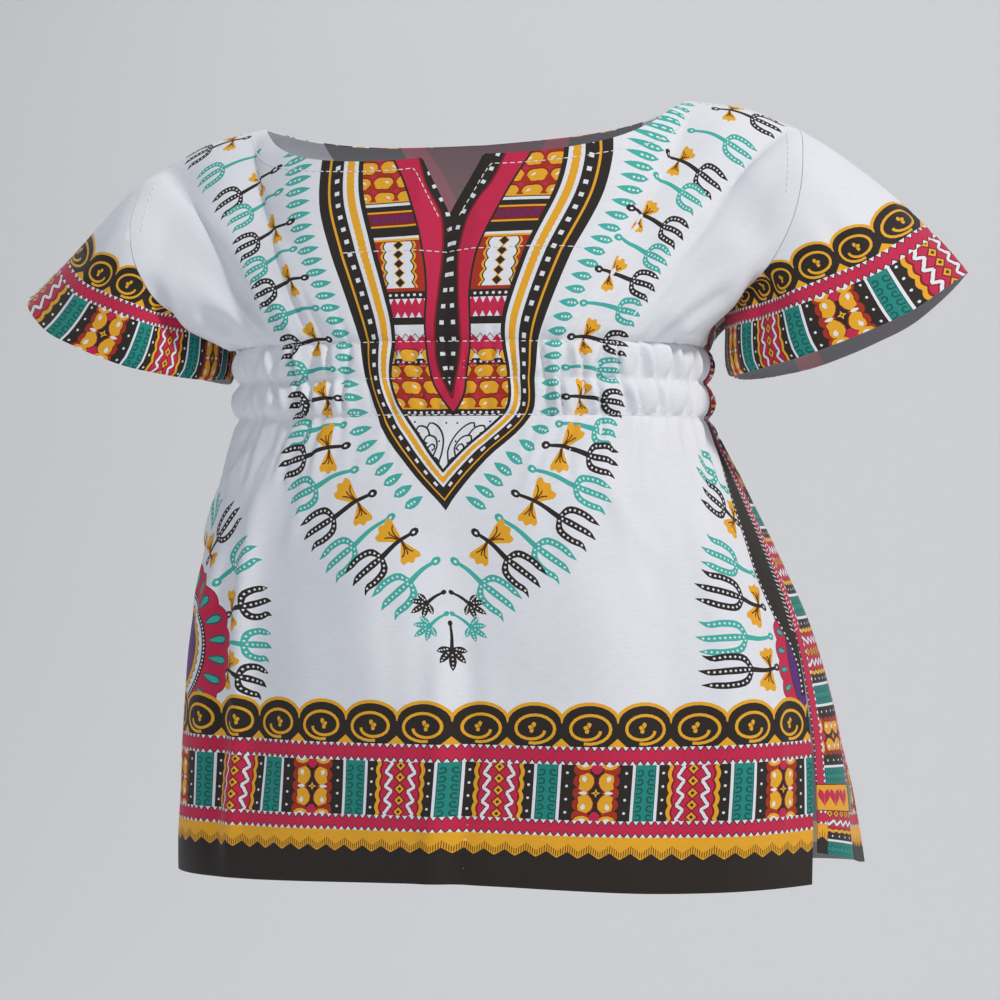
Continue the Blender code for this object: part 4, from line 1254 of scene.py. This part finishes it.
def sprig(paint, root, fork, reach, colour, spread=1.0):
    """A stem with a ring at its root and three dotted tines that bend away from the fork."""
    root, fork = np.asarray(root, float), np.asarray(fork, float)
    ahead = unit((fork - root)[None])[0]
    aside = np.array([-ahead[1], ahead[0]])
    length = np.linalg.norm(fork - root)
    sway = aside * length * 0.05
    stem = curve([root + ahead * 1.2, root + (fork - root) * 0.5 + sway, fork], 8)
    paint(colour, ribbon(stem, np.linspace(1.3, 2.3, 8)))
    paint(colour, oval(root + ahead * 1.4, 2.4, 1.7, math.atan2(ahead[1], ahead[0]), 8))
    paint("white", oval(root + ahead * 1.6, 0.8, 0.6, math.atan2(ahead[1], ahead[0]), 6))
    for side, far in ((1.0, 1.0), (-1.0, 0.94), (0.0, 1.04)):
        out = aside * side * TINE_OUT * spread
        points = [fork, fork + ahead * reach * 0.13 + out * 0.72, fork + ahead * reach * 0.50 + out]
        points += [fork + ahead * reach * far * 0.85 + out * 0.94 - aside * 0.3]
        points += [fork + ahead * reach * far + out * 1.04 - aside * 1.2]
        tine = curve(points, 14)
        width = np.interp(np.linspace(0, 1, 14), (0.0, 0.25, 0.80, 1.0), (2.0, 3.1, 2.7, 0.25))
        paint(colour, ribbon(tine, width))
        run = Path(tine)
        for at in np.arange(1.5, run.length * 0.88, 2.15):
            paint("white", oval(run.at(at)[0], 0.60, 0.60, sides=4))


def flower(paint, neck, lean, size=1.0):
    """A yellow fan with a wavy edge and brown stamens, opening from its neck."""
    angle = np.linspace(-0.56, 0.56, 15)
    wave = 11.6 + 0.7 * np.cos(angle * 15.0) - 9.0 * angle**4
    edge = np.column_stack([wave * np.cos(angle), wave * 0.98 * np.sin(angle)])
    fan = np.concatenate([[(0.0, 0.5)], [(-0.4, 0.0)], [(0.0, -0.5)], edge])
    paint("yellow", turned(fan * size, lean) + neck)
    for side in (-1.0, 0.0, 1.0):
        stamen = [(0.0, 0.4 * side), (3.6, 0.6 * side), (6.4, 2.0 * side), (7.2, 3.2 * side + 0.5)]
        paint("brown", ribbon(turned(np.array(curve(stamen, 7)) * size, lean) + neck, 0.62))


def flower_pair(paint, root, fork, size=1.0, share=0.42):
    """Two flowers that open to either side of a sprig's stem."""
    root, fork = np.asarray(root, float), np.asarray(fork, float)
    place = root + (fork - root) * share
    lean = math.atan2(*(fork - root)[::-1])
    flower(paint, place, lean + 1.20, size)
    flower(paint, place, lean - 1.40, size * 0.84)


# Right half, in flat places. flowers is 2 for a pair and 0 for none.
SPRIGS = table(
    "root_s root_t fork_s fork_t reach spread black flowers",
    [
        (104, 366, 124, 363, 15, 0.9, 1, 2),
        (92, 350, 113, 344, 17, 0.9, 0, 0),
        (80, 335, 102, 326, 17, 1.0, 1, 2),
        (76, 322, 95, 315, 16, 0.9, 0, 0),
        (68, 304, 91, 297, 15, 0.9, 1, 2),
        (66, 289, 87, 283, 14, 0.8, 0, 0),
        (61, 273, 83, 269, 14, 0.9, 1, 2),
        (58, 257, 79, 255, 13, 0.8, 0, 0),
        (56, 242, 76, 240, 13, 0.8, 1, 2),
        (53, 227, 72, 226, 13, 0.8, 0, 0),
        (51, 213, 72, 211, 13, 0.8, 1, 2),
        (48, 201, 68, 198, 13, 0.8, 0, 0),
        (44, 192, 67, 187, 15, 0.9, 1, 2),
        (39, 182, 60, 174, 16, 0.9, 0, 0),
        (31, 172, 51, 161, 17, 1.0, 1, 2),
        (23, 162, 40, 149, 17, 1.0, 0, 0),
        (12.5, 156, 27, 144, 17, 1.0, 1, 2),
        (3.0, 144, 15, 134, 17, 1.0, 0, 0),
    ],
)
FIVE_LEAF = ((1.6, 130, 8.5, 125.5, 1), (1.2, 121, 8.0, 116.0, 0))


def leaf_sprig(paint, root, end, colour, size=1.0):
    """A short stem with five dotted leaves."""
    root, end = np.asarray(root, float), np.asarray(end, float)
    lean = math.atan2(*(end - root)[::-1])
    paint(colour, ribbon(curve([root, (root + end) / 2.0 + (0.3, 0.3), end], 6), np.linspace(0.9, 1.5, 6)))
    paint(colour, oval(root, 1.3, 1.0, lean, 8))
    for bend, long in ((0.0, 9.0), (0.65, 7.4), (-0.65, 7.4), (1.35, 5.6), (-1.35, 5.6)):
        tip = end + turned([(long * size, 0.0)], lean + bend)[0]
        paint(colour, leaf(end, tip, 2.7 * size, 0.55))
        for share in (0.3, 0.48, 0.66, 0.82):
            paint("white", oval(end + (tip - end) * share, 0.38, 0.38, sides=5))


def drops(cloth):
    """The row of teal drops outside the V, each with white dots, pointing away from it."""
    count = int((V_EDGE.length - 4.0) / 6.4)
    for i in range(count):
        at = 4.0 + i * 6.4
        far, near = V_EDGE.at(at, 3.4)[0], V_EDGE.at(at - 2.0, 13.6)[0]
        cloth.paint_pair("teal", leaf(near, far, 4.0, 0.40))
        for share in (0.22, 0.38, 0.54):
            cloth.paint_pair("white", oval(near + (far - near) * share, 0.6, 0.6, sides=5))


def sprigs(cloth):
    for i in range(len(SPRIGS["reach"])):
        row = {name: values[i] for name, values in SPRIGS.items()}
        root, fork = (row["root_s"], row["root_t"]), (row["fork_s"], row["fork_t"])
        size = 0.80 if row["root_t"] > 195 else 1.0
        if row["flowers"]:
            flower_pair(cloth.paint_pair, root, fork, size)
        sprig(cloth.paint_pair, root, fork, row["reach"], "black" if row["black"] else "teal", row["spread"])
    for root_s, root_t, end_s, end_t, black in FIVE_LEAF:
        leaf_sprig(cloth.paint_pair, (root_s, root_t), (end_s, end_t), "black" if black else "teal", 0.95)
    leaf_sprig(cloth.paint, (0.0, 117.0), (0.0, 106.5), "black", 1.1)


# %% Side medallions
def medallion(cloth, centre, wide, high, ring, hearted):
    """A round by a side seam: a scalloped ring of drops about a purple heart."""
    centre = np.asarray(centre, float)
    bumps = 22

    def rounded(inside, waves=0, tall=0.0):
        angle = np.linspace(0.0, 2.0 * math.pi, 133)[:-1]
        wave = tall * np.abs(np.sin(waves * angle / 2.0)) - tall
        across, up = wide - inside + wave, high - inside + wave
        reach = np.column_stack([across * np.cos(angle), up * np.sin(angle)])
        return reach + centre

    def paint(colour, inside, waves=0, tall=0.0):
        cloth.paint(colour, rounded(inside, waves, tall), slides=False)

    paint("maroon", 0.0, bumps, 1.8)
    paint("crimson", 0.5, bumps, 1.8)
    for i in range(bumps):
        angle = 2.0 * math.pi * (i + 0.5) / bumps
        way = np.array([math.cos(angle), math.sin(angle)])
        outer, inner = (centre + way * (wide - ring * share, high - ring * share) for share in (0.22, 0.92))
        cloth.paint("deep_teal", leaf(outer, inner, ring * 0.34, 0.3), slides=False)
        inset = unit((inner - outer)[None])[0] * 0.7
        cloth.paint("teal", leaf(outer + inset, inner - inset, ring * 0.22, 0.3), slides=False)
    if hearted:
        paint("black", ring)
        for i in range(84):
            angle = 2.0 * math.pi * i / 84
            way = np.array([math.cos(angle) * (wide - ring - 1.4), math.sin(angle) * (high - ring - 1.4)])
            cloth.paint("white", oval(centre + way, 0.6, 0.6, sides=5), slides=False)
        paint("white", ring + 2.8)
        paint("black", ring + 5.0, 30, 1.8)
        paint("yellow", ring + 5.6, 30, 1.8)
        ring += 9.0
    paint("black", ring)
    paint("purple", ring + 0.5)


# Where the sprigs by a side seam stand, in flat places: the right side's are whole, the left's half hidden.
SIDE_SPRIGS = {
    1: table(
        "root_s root_t fork_s fork_t reach black",
        [
            (158, 172, 150, 178, 14, 0),
            (158, 158, 149, 164, 15, 1),
            (157, 136, 146, 140, 19, 0),
            (157, 122, 143, 126, 21, 1),
            (157, 110, 141, 110, 21, 0),
            (158, 97, 142, 96.5, 22, 1),
        ],
    ),
    -1: table(
        "root_s root_t fork_s fork_t reach black",
        [
            (-136, 144, -139, 156, 16, 1),
            (-122, 143, -119, 155, 17, 0),
            (-109, 140, -102, 151, 17, 1),
            (-97, 131, -88, 139, 15, 0),
            (-91, 118, -79, 122, 13, 1),
            (-90, 106, -78, 106, 13, 0),
            (-92, 95, -80, 92, 13, 1),
        ],
    ),
}


def side_motifs(cloth):
    """The medallions, their sprigs and the spiral band up each side edge of the front."""

    def paint(colour, outline, within=None):
        return cloth.paint(colour, outline, within, slides=False)

    for sign, places in SIDE_SPRIGS.items():
        for i in range(len(places["reach"])):
            root = np.array((places["root_s"][i], places["root_t"][i]))
            fork = np.array((places["fork_s"][i], places["fork_t"][i]))
            black = places["black"][i]
            if black:
                flower_pair(paint, root, fork, 0.85, share=0.35)
            sprig(paint, root, fork, places["reach"][i], "black" if black else "teal", 0.95)
    medallion(cloth, (-126.0, 103.0), 39.0, 38.0, 13.0, True)
    medallion(cloth, (HALF_FRONT + 1.0, 100.0), 19.0, 33.0, 8.5, False)
    right_loss = (17.0, 14.0, 6.0, 2.5, 3.0, 9.0, 11.0)
    left_loss = (0.0, 0.0, 0.0, 0.0, 2.0, 8.0, 11.0)
    for sign, loss in ((1.0, right_loss), (-1.0, left_loss)):
        eaten = {"t": (96.0, 106.0, 120.0, 135.0, 165.0, 205.0, 240.0), "loss": loss}
        band = EdgeBand(cloth, sign * HALF_FRONT, eaten)
        band.paint("black", box(84.0, -2.0, 246.0, 20.5))
        for t in np.arange(86.0, 246.0, 2.3):
            band.paint("white", oval((t, 19.3), 0.62, 0.62, sides=5))
        spiral_line(band, 84.0, 246.0, 0.0, 17.0, 165.0)

# %% [markdown]
# ## Cotton
#
# Printed cotton is matt and crisp: a fine plain weave, a little sheen at grazing angles, and dyes that
# soften a touch along the threads. The dye of each shape comes from a colour attribute on the faces, and
# the nodes add the weave to it, so one material serves every colour.

# %% The material
def printed_cotton(name, fade):
    """The face of the cloth, or its reverse where fade mixes the dye with undyed white."""
    material = bpy.data.materials.new(name)
    material.use_nodes = True
    nodes, links = material.node_tree.nodes, material.node_tree.links
    shader = nodes["Principled BSDF"]

    def node(kind, **values):
        made = nodes.new("ShaderNode" + kind)
        for key, value in values.items():
            if key in made.inputs:
                made.inputs[key].default_value = value
            else:
                setattr(made, key, value)
        return made

    def math_node(operation, first, second):
        made = nodes.new("ShaderNodeMath")
        made.operation = operation
        for socket, value in zip(made.inputs, (first, second)):
            if isinstance(value, (int, float)):
                socket.default_value = value
            else:
                links.new(value, socket)
        return made.outputs[0]

    dye = node("VertexColor", layer_name="dye")
    place = node("Attribute", attribute_name="flat_place")
    apart = nodes.new("ShaderNodeSeparateXYZ")
    links.new(place.outputs["Vector"], apart.inputs[0])

    def threads(axis, per_mm):
        turns = math_node("MULTIPLY", apart.outputs[axis], 2.0 * math.pi * per_mm)
        return math_node("SINE", turns, 0.0)

    warp, weft = threads(0, THREADS_PER_MM), threads(1, THREADS_PER_MM)
    weave = math_node("MULTIPLY", warp, weft)
    slub = node("TexNoise", Scale=0.9, Detail=3.0)
    stretch = node("Mapping", vector_type="TEXTURE")
    stretch.inputs["Scale"].default_value = (5.0, 0.8, 1.0)
    links.new(place.outputs["Vector"], stretch.inputs["Vector"])
    links.new(stretch.outputs["Vector"], slub.inputs["Vector"])
    cloud = node("TexNoise", Scale=0.035, Detail=4.0)
    links.new(place.outputs["Vector"], cloud.inputs["Vector"])

    shade = math_node("ADD", math_node("MULTIPLY", slub.outputs[0], 0.12), 0.90)
    shade = math_node("ADD", shade, math_node("MULTIPLY", cloud.outputs[0], 0.08))
    shade = math_node("ADD", shade, math_node("MULTIPLY", weave, 0.020))
    tint = node("Mix", data_type="RGBA")
    tint.inputs["Factor"].default_value = fade
    tint.inputs[7].default_value = (*DYES["white"], 1.0)
    links.new(dye.outputs["Color"], tint.inputs[6])
    shaded = nodes.new("ShaderNodeVectorMath")
    shaded.operation = "SCALE"
    links.new(tint.outputs[2], shaded.inputs[0])
    links.new(shade, shaded.inputs["Scale"])
    links.new(shaded.outputs[0], shader.inputs["Base Color"])

    rough = math_node("ADD", math_node("MULTIPLY", slub.outputs[0], 0.10), 0.76)
    links.new(rough, shader.inputs["Roughness"])
    shader.inputs["Sheen Weight"].default_value = 0.12
    shader.inputs["Sheen Roughness"].default_value = 0.5
    shader.inputs["Specular IOR Level"].default_value = 0.32
    bump = node("Bump", Strength=0.22, Distance=0.00012)
    height = math_node("ADD", weave, math_node("MULTIPLY", slub.outputs[0], 2.0))
    links.new(height, bump.inputs["Height"])
    links.new(bump.outputs["Normal"], shader.inputs["Normal"])
    return material


THREADS_PER_MM = 1.35
bpy.context.scene.view_settings.view_transform = "Standard"
FACE = printed_cotton("printed_cotton_face", 0.0)
REVERSE = printed_cotton("printed_cotton_reverse", 0.35)


# %% [markdown]
# ## Laying the print on the form
#
# The cut cloth is laid on the worn form: each flat point is looked up on the net. Only the strong shapes
# of a print come through to its reverse, so that side is cut again with the large shapes alone, on fewer
# points. It is set back by the cloth's thickness, and a narrow rim joins the two all round.

# %% Making a piece of cloth
def loose_grid(outline, spacing):
    """Points to carry the folds, spaced by (low_t, step_s, step_t) bands from the hem up."""
    s_low, s_high = outline[:, 0].min(), outline[:, 0].max()
    t = outline[:, 1].min() + 1.0
    points = []
    row = 0
    while t < outline[:, 1].max():
        step_s, step_t = [(s, up) for low, s, up in spacing if t >= low][-1]
        shift = step_s * (0.25 if row % 2 else -0.25)
        across = np.arange(s_low + 0.9 + step_s / 4.0, s_high - 0.7, step_s) + shift
        points.extend((s, t) for s in across)
        t += step_t
        row += 1
    return points


def faces_out(places, normals, corners):
    """The corners in the order that faces the same way as the normals."""
    first, second, third = (places[corners[:, i]] for i in range(3))
    facing = np.cross(second - first, third - first)
    return corners[:, ::-1] if np.sum(facing * normals[corners[:, 0]]) < 0.0 else corners


def boundary(corners):
    """The edges that only one triangle has, as pairs of points, and the number of that triangle."""
    sides = np.concatenate([corners[:, [0, 1]], corners[:, [1, 2]], corners[:, [2, 0]]])
    owner = np.tile(np.arange(len(corners)), 3)
    key = np.sort(sides, axis=1) @ np.array([corners.max() + 1, 1])
    _, first, count = np.unique(key, return_index=True, return_counts=True)
    return sides[first[count == 1]], owner[first[count == 1]]


def tidied(cloth, lay, loose):
    """The cut cloth without unused points or needle-thin triangles, laid on the form."""
    flat, corners, colours = cloth.cut(loose)
    places, normals = lay(flat[:, 0], flat[:, 1])
    first, second, third = (places[corners[:, i]] for i in range(3))
    thick = np.linalg.norm(np.cross(second - first, third - first), axis=1) > NEEDLE
    corners, colours = corners[thick], colours[thick]
    used = np.unique(corners)
    number = np.full(len(flat), -1)
    number[used] = np.arange(len(used))
    corners = faces_out(places[used], normals[used], number[corners])
    return flat[used], places[used], normals[used], corners, colours


# Twice the area of a triangle too thin to keep, and the box of a shape that the reverse still shows.
NEEDLE, SHOWS_THROUGH, BACK_SHOWS_THROUGH = 1e-5, 240.0, 2600.0


def make_cloth(name, cloth, lay, spacing, shows=SHOWS_THROUGH):
    """The printed face, a plainer reverse with the print's large shapes alone, and the rim between them."""
    outline = cloth.shapes[0][1]
    flat, places, normals, corners, colours = tidied(cloth, lay, loose_grid(outline, spacing))
    rim, rim_owner = boundary(corners)
    after = dict(rim.tolist())
    loop = [min(after, key=lambda i: flat[i, 1])]
    while after[loop[-1]] != loop[0]:
        loop.append(after[loop[-1]])
    reverse = PrintedCloth(flat[loop], fine=False)
    for colour, shape, within in cloth.shapes[1:]:
        if within is None and np.prod(np.ptp(shape, axis=0)) > shows:
            reverse.paint(colour, shape)
    loose = loose_grid(outline, spacing)[::2]
    flat_b, places_b, normals_b, corners_b, colours_b = tidied(reverse, lay, loose)
    print(name, len(loop), "edge points")
    print(name, len(corners), "triangles on the face,", len(corners_b), "on the reverse")
    rim_b, _ = boundary(corners_b)
    edge_b = np.unique(rim_b)
    finder = KDTree(len(edge_b))
    for i in edge_b:
        finder.insert((*flat_b[i], 0.0), int(i))
    finder.balance()
    back = len(flat)
    under = {i: finder.find((*flat[i], 0.0))[1] + back for i in loop}
    quads = [(after[i], i, under[i], under[after[i]]) for i in loop]
    quads = [tuple(dict.fromkeys(quad)) for quad in quads]
    faces = corners.tolist() + (corners_b[:, ::-1] + back).tolist() + quads
    mesh = bpy.data.meshes.new(name)
    points = np.concatenate([places, places_b - normals_b * SHELL]) * MM
    mesh.from_pydata(points.tolist(), [], faces)
    mesh.materials.append(FACE)
    mesh.materials.append(REVERSE)
    slots = np.zeros(len(faces), int)
    slots[len(corners) : len(corners) + len(corners_b)] = 1
    mesh.polygons.foreach_set("material_index", slots)
    owner = {start: i for start, i in zip(rim[:, 0].tolist(), rim_owner)}
    face_colours = np.concatenate([colours, colours_b, colours[[owner[i] for i in loop]]])
    sizes = np.array([len(face) for face in faces])
    dye = mesh.color_attributes.new("dye", "FLOAT_COLOR", "CORNER")
    values = np.column_stack([face_colours, np.ones(len(faces))]).repeat(sizes, axis=0)
    dye.data.foreach_set("color", values.ravel())
    flat_place = mesh.attributes.new("flat_place", "FLOAT_VECTOR", "POINT")
    both = np.concatenate([flat, flat_b])
    flat_place.data.foreach_set("vector", np.column_stack([both, np.zeros(len(both))]).ravel())
    mesh.shade_smooth()
    mesh.set_sharp_from_angle(angle=math.radians(60))
    piece = bpy.data.objects.new(name, mesh)
    bpy.context.scene.collection.objects.link(piece)
    print(name, len(cloth.shapes), "shapes,", int((sizes - 2).sum()), "triangles")
    return piece


# From each height up, the spacing sideways and upwards. It is closest where the elastics gather the cloth.
PANEL_SPACING = (
    (0.0, 3.2, 3.4),
    (176.0, 2.0, 2.4),
    (200.0, 1.35, 1.6),
    (246.0, 1.9, 2.2),
    (270.0, 2.8, 2.8),
)
BACK_SPACING = (
    (0.0, 4.4, 4.4),
    (176.0, 2.4, 3.0),
    (200.0, 1.8, 2.0),
    (246.0, 2.6, 2.8),
    (270.0, 4.0, 4.0),
)
SLEEVE_SPACING = ((0.0, 2.4, 2.4),)
pieces = {}

# %% The front
# How far the print lies to the side of the panel's centre at each height.
PRINT_SLIDE = table(
    "t s", [(0, 18), (100, 18.5), (165, 14.5), (190, 7.5), (222, 3.2), (281, 2.0), (328, 4), (376, 4)]
)
front_cloth = PrintedCloth(panel_outline("front"), PRINT_SLIDE)
side_motifs(front_cloth)
hem_border(front_cloth, -HALF_FRONT - 22.0, HALF_FRONT + 1.0)
drops(front_cloth)
sprigs(front_cloth)
neck_panel(front_cloth)
pieces["front"] = make_cloth(
    "front_cloth", front_cloth, lambda s, t: lay_panel("front", s, t), PANEL_SPACING
)

# %% The back
back_cloth = PrintedCloth(panel_outline("back"))
drops(back_cloth)
sprigs(back_cloth)
neck_panel(back_cloth)
hem_border(back_cloth, -HALF_BACK - 1.0, HALF_BACK + 1.0, BACK_DROP)
SIDE_FOOT, SIDE_TOP = 39.0, 246.0
for sign in (-1.0, 1.0):
    band = EdgeBand(back_cloth, sign * HALF_BACK)
    band.paint("black", box(SIDE_FOOT, -2.0, SIDE_TOP, 42.0))
    spiral_line(band, SIDE_FOOT, SIDE_TOP, 39.4, 56.4, 142.0)
    toothed_band(band, SIDE_FOOT, SIDE_TOP, -1.0, 6.6)
    blocks(band, SIDE_FOOT, SIDE_TOP, 6.6, 31.8, 122.0)
    toothed_band(band, SIDE_FOOT, SIDE_TOP, 31.8, 39.4)
    band.paint("maroon", box(HEM_RED - BACK_DROP, -2.0, SIDE_FOOT, 32.0))
    band.paint("yellow", box(HEM_RED - BACK_DROP + 0.6, -2.0, SIDE_FOOT - 0.6, 31.4))
    for place in (5.0, 14.0, 23.0):
        middle = (HEM_RED - BACK_DROP + SIDE_FOOT) / 2.0
        for lean in (-0.5, 0.5):
            band.paint("crimson", leaf((middle - 4.6, place), (middle + 4.6, place + lean * 7.0), 4.6, 0.68))
pieces["back"] = make_cloth(
    "back_cloth", back_cloth, lambda s, t: lay_panel("back", s, t), BACK_SPACING, BACK_SHOWS_THROUGH
)

# %% The sleeves
SLEEVE_PHASE = 12.0
for name in SLEEVES:
    sleeve_cloth = PrintedCloth(sleeve_outline(name))
    half = SLEEVE_ROUND[name] / 2.0 + 1.0
    sleeve_cloth.paint("black", box(-half, -2.0, half, 21.0))
    blocks(sleeve_cloth, -half, half, 0.0, 21.0, SLEEVE_PHASE)
    toothed_band(sleeve_cloth, -half, half, 21.0, 28.0)
    spiral_line(sleeve_cloth, -half, half, 28.0, 45.0)
    pieces[name] = make_cloth(
        name + "_cloth", sleeve_cloth, lambda s, t: lay_sleeve(name, s, t), SLEEVE_SPACING
    )

# %% [markdown]
# ## Stitching
#
# The sewing that shows is white thread: a row along the neck, one across the panel under the notch, the
# three rows that hold the elastics, and an overlock down each side. Each stitch could be a curve, but
# hundreds of curves are slow, so every stitch is a small rounded bar and one mesh holds all of a panel's.

# %% Thread
def sewing_thread():
    material = bpy.data.materials.new("sewing_thread")
    material.use_nodes = True
    nodes, links = material.node_tree.nodes, material.node_tree.links
    shader = nodes["Principled BSDF"]
    twist = nodes.new("ShaderNodeTexWave")
    twist.inputs["Scale"].default_value = 900.0
    ramp = nodes.new("ShaderNodeMix")
    ramp.data_type = "RGBA"
    ramp.inputs[6].default_value = (0.80, 0.80, 0.82, 1.0)
    ramp.inputs[7].default_value = (0.95, 0.95, 0.95, 1.0)
    links.new(twist.outputs["Fac"], ramp.inputs["Factor"])
    links.new(ramp.outputs[2], shader.inputs["Base Color"])
    shader.inputs["Roughness"].default_value = 0.55
    return material


THREAD = sewing_thread()
THREAD_WIDE, THREAD_HIGH, THREAD_SINK = 0.26, 0.28, 0.05
STITCH_PROFILE = ((0.0, 0.35), (0.22, 1.0), (0.78, 1.0), (1.0, 0.35))


def sew(name, lay, stitches):
    """One mesh of stitches, each from a flat place to another."""
    starts, ends = np.array(stitches, float).transpose(1, 0, 2)
    points, faces = [], []
    for share, thick in STITCH_PROFILE:
        flat = starts + (ends - starts) * share
        place, out = lay(flat[:, 0], flat[:, 1])
        ahead, _ = lay(*(starts + (ends - starts) * min(share + 0.2, 1.2)).T)
        across = unit(np.cross(out, ahead - place)) * THREAD_WIDE * thick
        low, high = place - out * THREAD_SINK, place + out * THREAD_HIGH * thick
        narrower = across * 0.6
        corners = [low - across, low + across, high + narrower, high - narrower]
        points.append(np.stack(corners, axis=1))
    points = np.stack(points, axis=1)
    count, rings = points.shape[:2]
    for i in range(count):
        first = i * rings * 4
        for j in range(rings - 1):
            for k in range(4):
                a, b = first + j * 4 + k, first + j * 4 + (k + 1) % 4
                faces.append((a, b, b + 4, a + 4))
        last = first + (rings - 1) * 4
        faces += [(first + 3, first + 2, first + 1, first), (last, last + 1, last + 2, last + 3)]
    mesh = bpy.data.meshes.new(name)
    mesh.from_pydata((points.reshape(-1, 3) * MM).tolist(), [], faces)
    mesh.materials.append(THREAD)
    mesh.shade_smooth()
    piece = bpy.data.objects.new(name, mesh)
    bpy.context.scene.collection.objects.link(piece)
    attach(piece, "root")
    print(name, count, "stitches,", 2 * len(mesh.polygons), "triangles")


def running(path, stitch=2.3, gap=0.9):
    """Even stitches along a flat path."""
    line = Path(path)
    starts = np.arange(0.6, line.length - stitch, stitch + gap)
    return list(zip(line.at(starts), line.at(starts + stitch)))


def overlocked(edge, low, high, step=1.9, reach=3.2):
    """Slanting stitches over a side edge."""
    inwards = -math.copysign(1.0, edge)
    places = np.arange(low, high, step)
    return [((edge + inwards * 0.3, t), (edge + inwards * reach, t + step * 0.55)) for t in places]


# %% The rows of stitching
NECK_MARGIN, PANEL_ROW = 5.0, 282.0
for side in EDGES:
    half = HALF_WIDTH[side]
    rim = np.column_stack(TOP_FLAT[side])
    neck = rim[EDGE_U <= SHOULDER_END / HALF_COLUMNS]
    neck = neck[neck[:, 0] < neck[:, 0].max() - 1.0][::20]
    margin = Path(neck[::-1]).at(np.linspace(0.0, Path(neck[::-1]).length, 60), NECK_MARGIN)
    stitches = []
    for sign in (-1.0, 1.0):
        stitches += running(margin[margin[:, 0] > 1.5] * (sign, 1.0))
        stitches += overlocked(sign * half, 112.0, 236.0)
    for t in (FLAT_LOW, FLAT_MID, FLAT_TOP):
        stitches += running([(-half + 2.0, t), (0.0, t), (half - 2.0, t)])
    if side == "front":
        stitches += running([(-44.0, PANEL_ROW + 1.0), (0.0, PANEL_ROW - 0.5), (56.0, PANEL_ROW)])
    sew(side + "_stitches", lambda s, t: lay_panel(side, s, t), stitches)

# %% [markdown]
# ## Frame, floor, light and camera
#
# Each cloth stands for one imported solid, which it hides, and rides on the shirt's one body. The floor
# could be a plane, but one that curves up into a wall shows no edge. A small lamp from the upper right
# gives the clear shade of daylight, and two wide, weak ones keep the far side readable.


for name, piece in pieces.items():
    outline = sleeve_outline(name) if name in SLEEVES else panel_outline(name)
    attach(piece, "root")
    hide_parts(name)

# %% Floor and backdrop
FLOOR, BACKDROP_FAR, BACKDROP_ROUND = -0.62, 1.1, 0.7


def make_backdrop():
    """A pale sweep: a floor that curves up into a wall."""
    profile = [(-3.0, FLOOR), (BACKDROP_FAR, FLOOR)]
    for i in range(1, 17):
        angle = math.pi / 2.0 * i / 16
        back, up = BACKDROP_ROUND * math.sin(angle), BACKDROP_ROUND * (1 - math.cos(angle))
        profile.append((BACKDROP_FAR + back, FLOOR + up))
    profile.append((BACKDROP_FAR + BACKDROP_ROUND, 3.0))
    points = [(x, y, z) for y, z in profile for x in (-4.0, 4.0)]
    faces = [(2 * i, 2 * i + 1, 2 * i + 3, 2 * i + 2) for i in range(len(profile) - 1)]
    mesh = bpy.data.meshes.new("backdrop")
    mesh.from_pydata(points, [], faces)
    mesh.shade_smooth()
    material = bpy.data.materials.new("backdrop_paint")
    material.use_nodes = True
    shader = material.node_tree.nodes["Principled BSDF"]
    shader.inputs["Base Color"].default_value = (0.93, 0.93, 0.935, 1.0)
    shader.inputs["Roughness"].default_value = 0.9
    mesh.materials.append(material)
    backdrop = bpy.data.objects.new("backdrop", mesh)
    bpy.context.scene.collection.objects.link(backdrop)
    return backdrop


make_backdrop()

# %% Light
world = bpy.data.worlds.new("pale_room")
world.use_nodes = True
world.node_tree.nodes["Background"].inputs["Color"].default_value = (0.86, 0.92, 1.0, 1.0)
world.node_tree.nodes["Background"].inputs["Strength"].default_value = 0.31
bpy.context.scene.world = world
MIDDLE = Vector((0.0, 0.0, -0.173))


def area_light(name, place, size, power, colour):
    light = bpy.data.lights.new(name, "AREA")
    light.size = size
    light.energy = power
    light.color = colour
    lamp = bpy.data.objects.new(name, light)
    lamp.location = place
    lamp.rotation_euler = (MIDDLE - Vector(place)).to_track_quat("-Z", "Y").to_euler()
    bpy.context.scene.collection.objects.link(lamp)


area_light("key", (1.35, -0.95, 1.35), 0.22, 27.0, (1.0, 0.97, 0.93))
area_light("fill", (-1.2, -1.9, 0.1), 1.6, 6.0, (0.90, 0.95, 1.0))
area_light("rim", (-0.6, 1.0, 1.3), 1.0, 6.0, (1.0, 1.0, 1.0))

# %% Camera
VIEW_TURN, VIEW_DISTANCE, VIEW_ASIDE = math.radians(10.0), 1.150, 0.012
FRAME_WIDTH, SENSOR = 0.450, 36.0
camera_data = bpy.data.cameras.new("camera")
camera_data.sensor_width = SENSOR
camera_data.lens = SENSOR * VIEW_DISTANCE / FRAME_WIDTH
camera = bpy.data.objects.new("camera", camera_data)
right = Vector((math.cos(VIEW_TURN), math.sin(VIEW_TURN), 0.0))
toward = Vector((math.sin(VIEW_TURN), -math.cos(VIEW_TURN), 0.0))
camera.location = MIDDLE + toward * VIEW_DISTANCE + right * VIEW_ASIDE
camera.rotation_euler = (math.pi / 2.0, 0.0, VIEW_TURN)
bpy.context.scene.collection.objects.link(camera)
bpy.context.scene.camera = camera
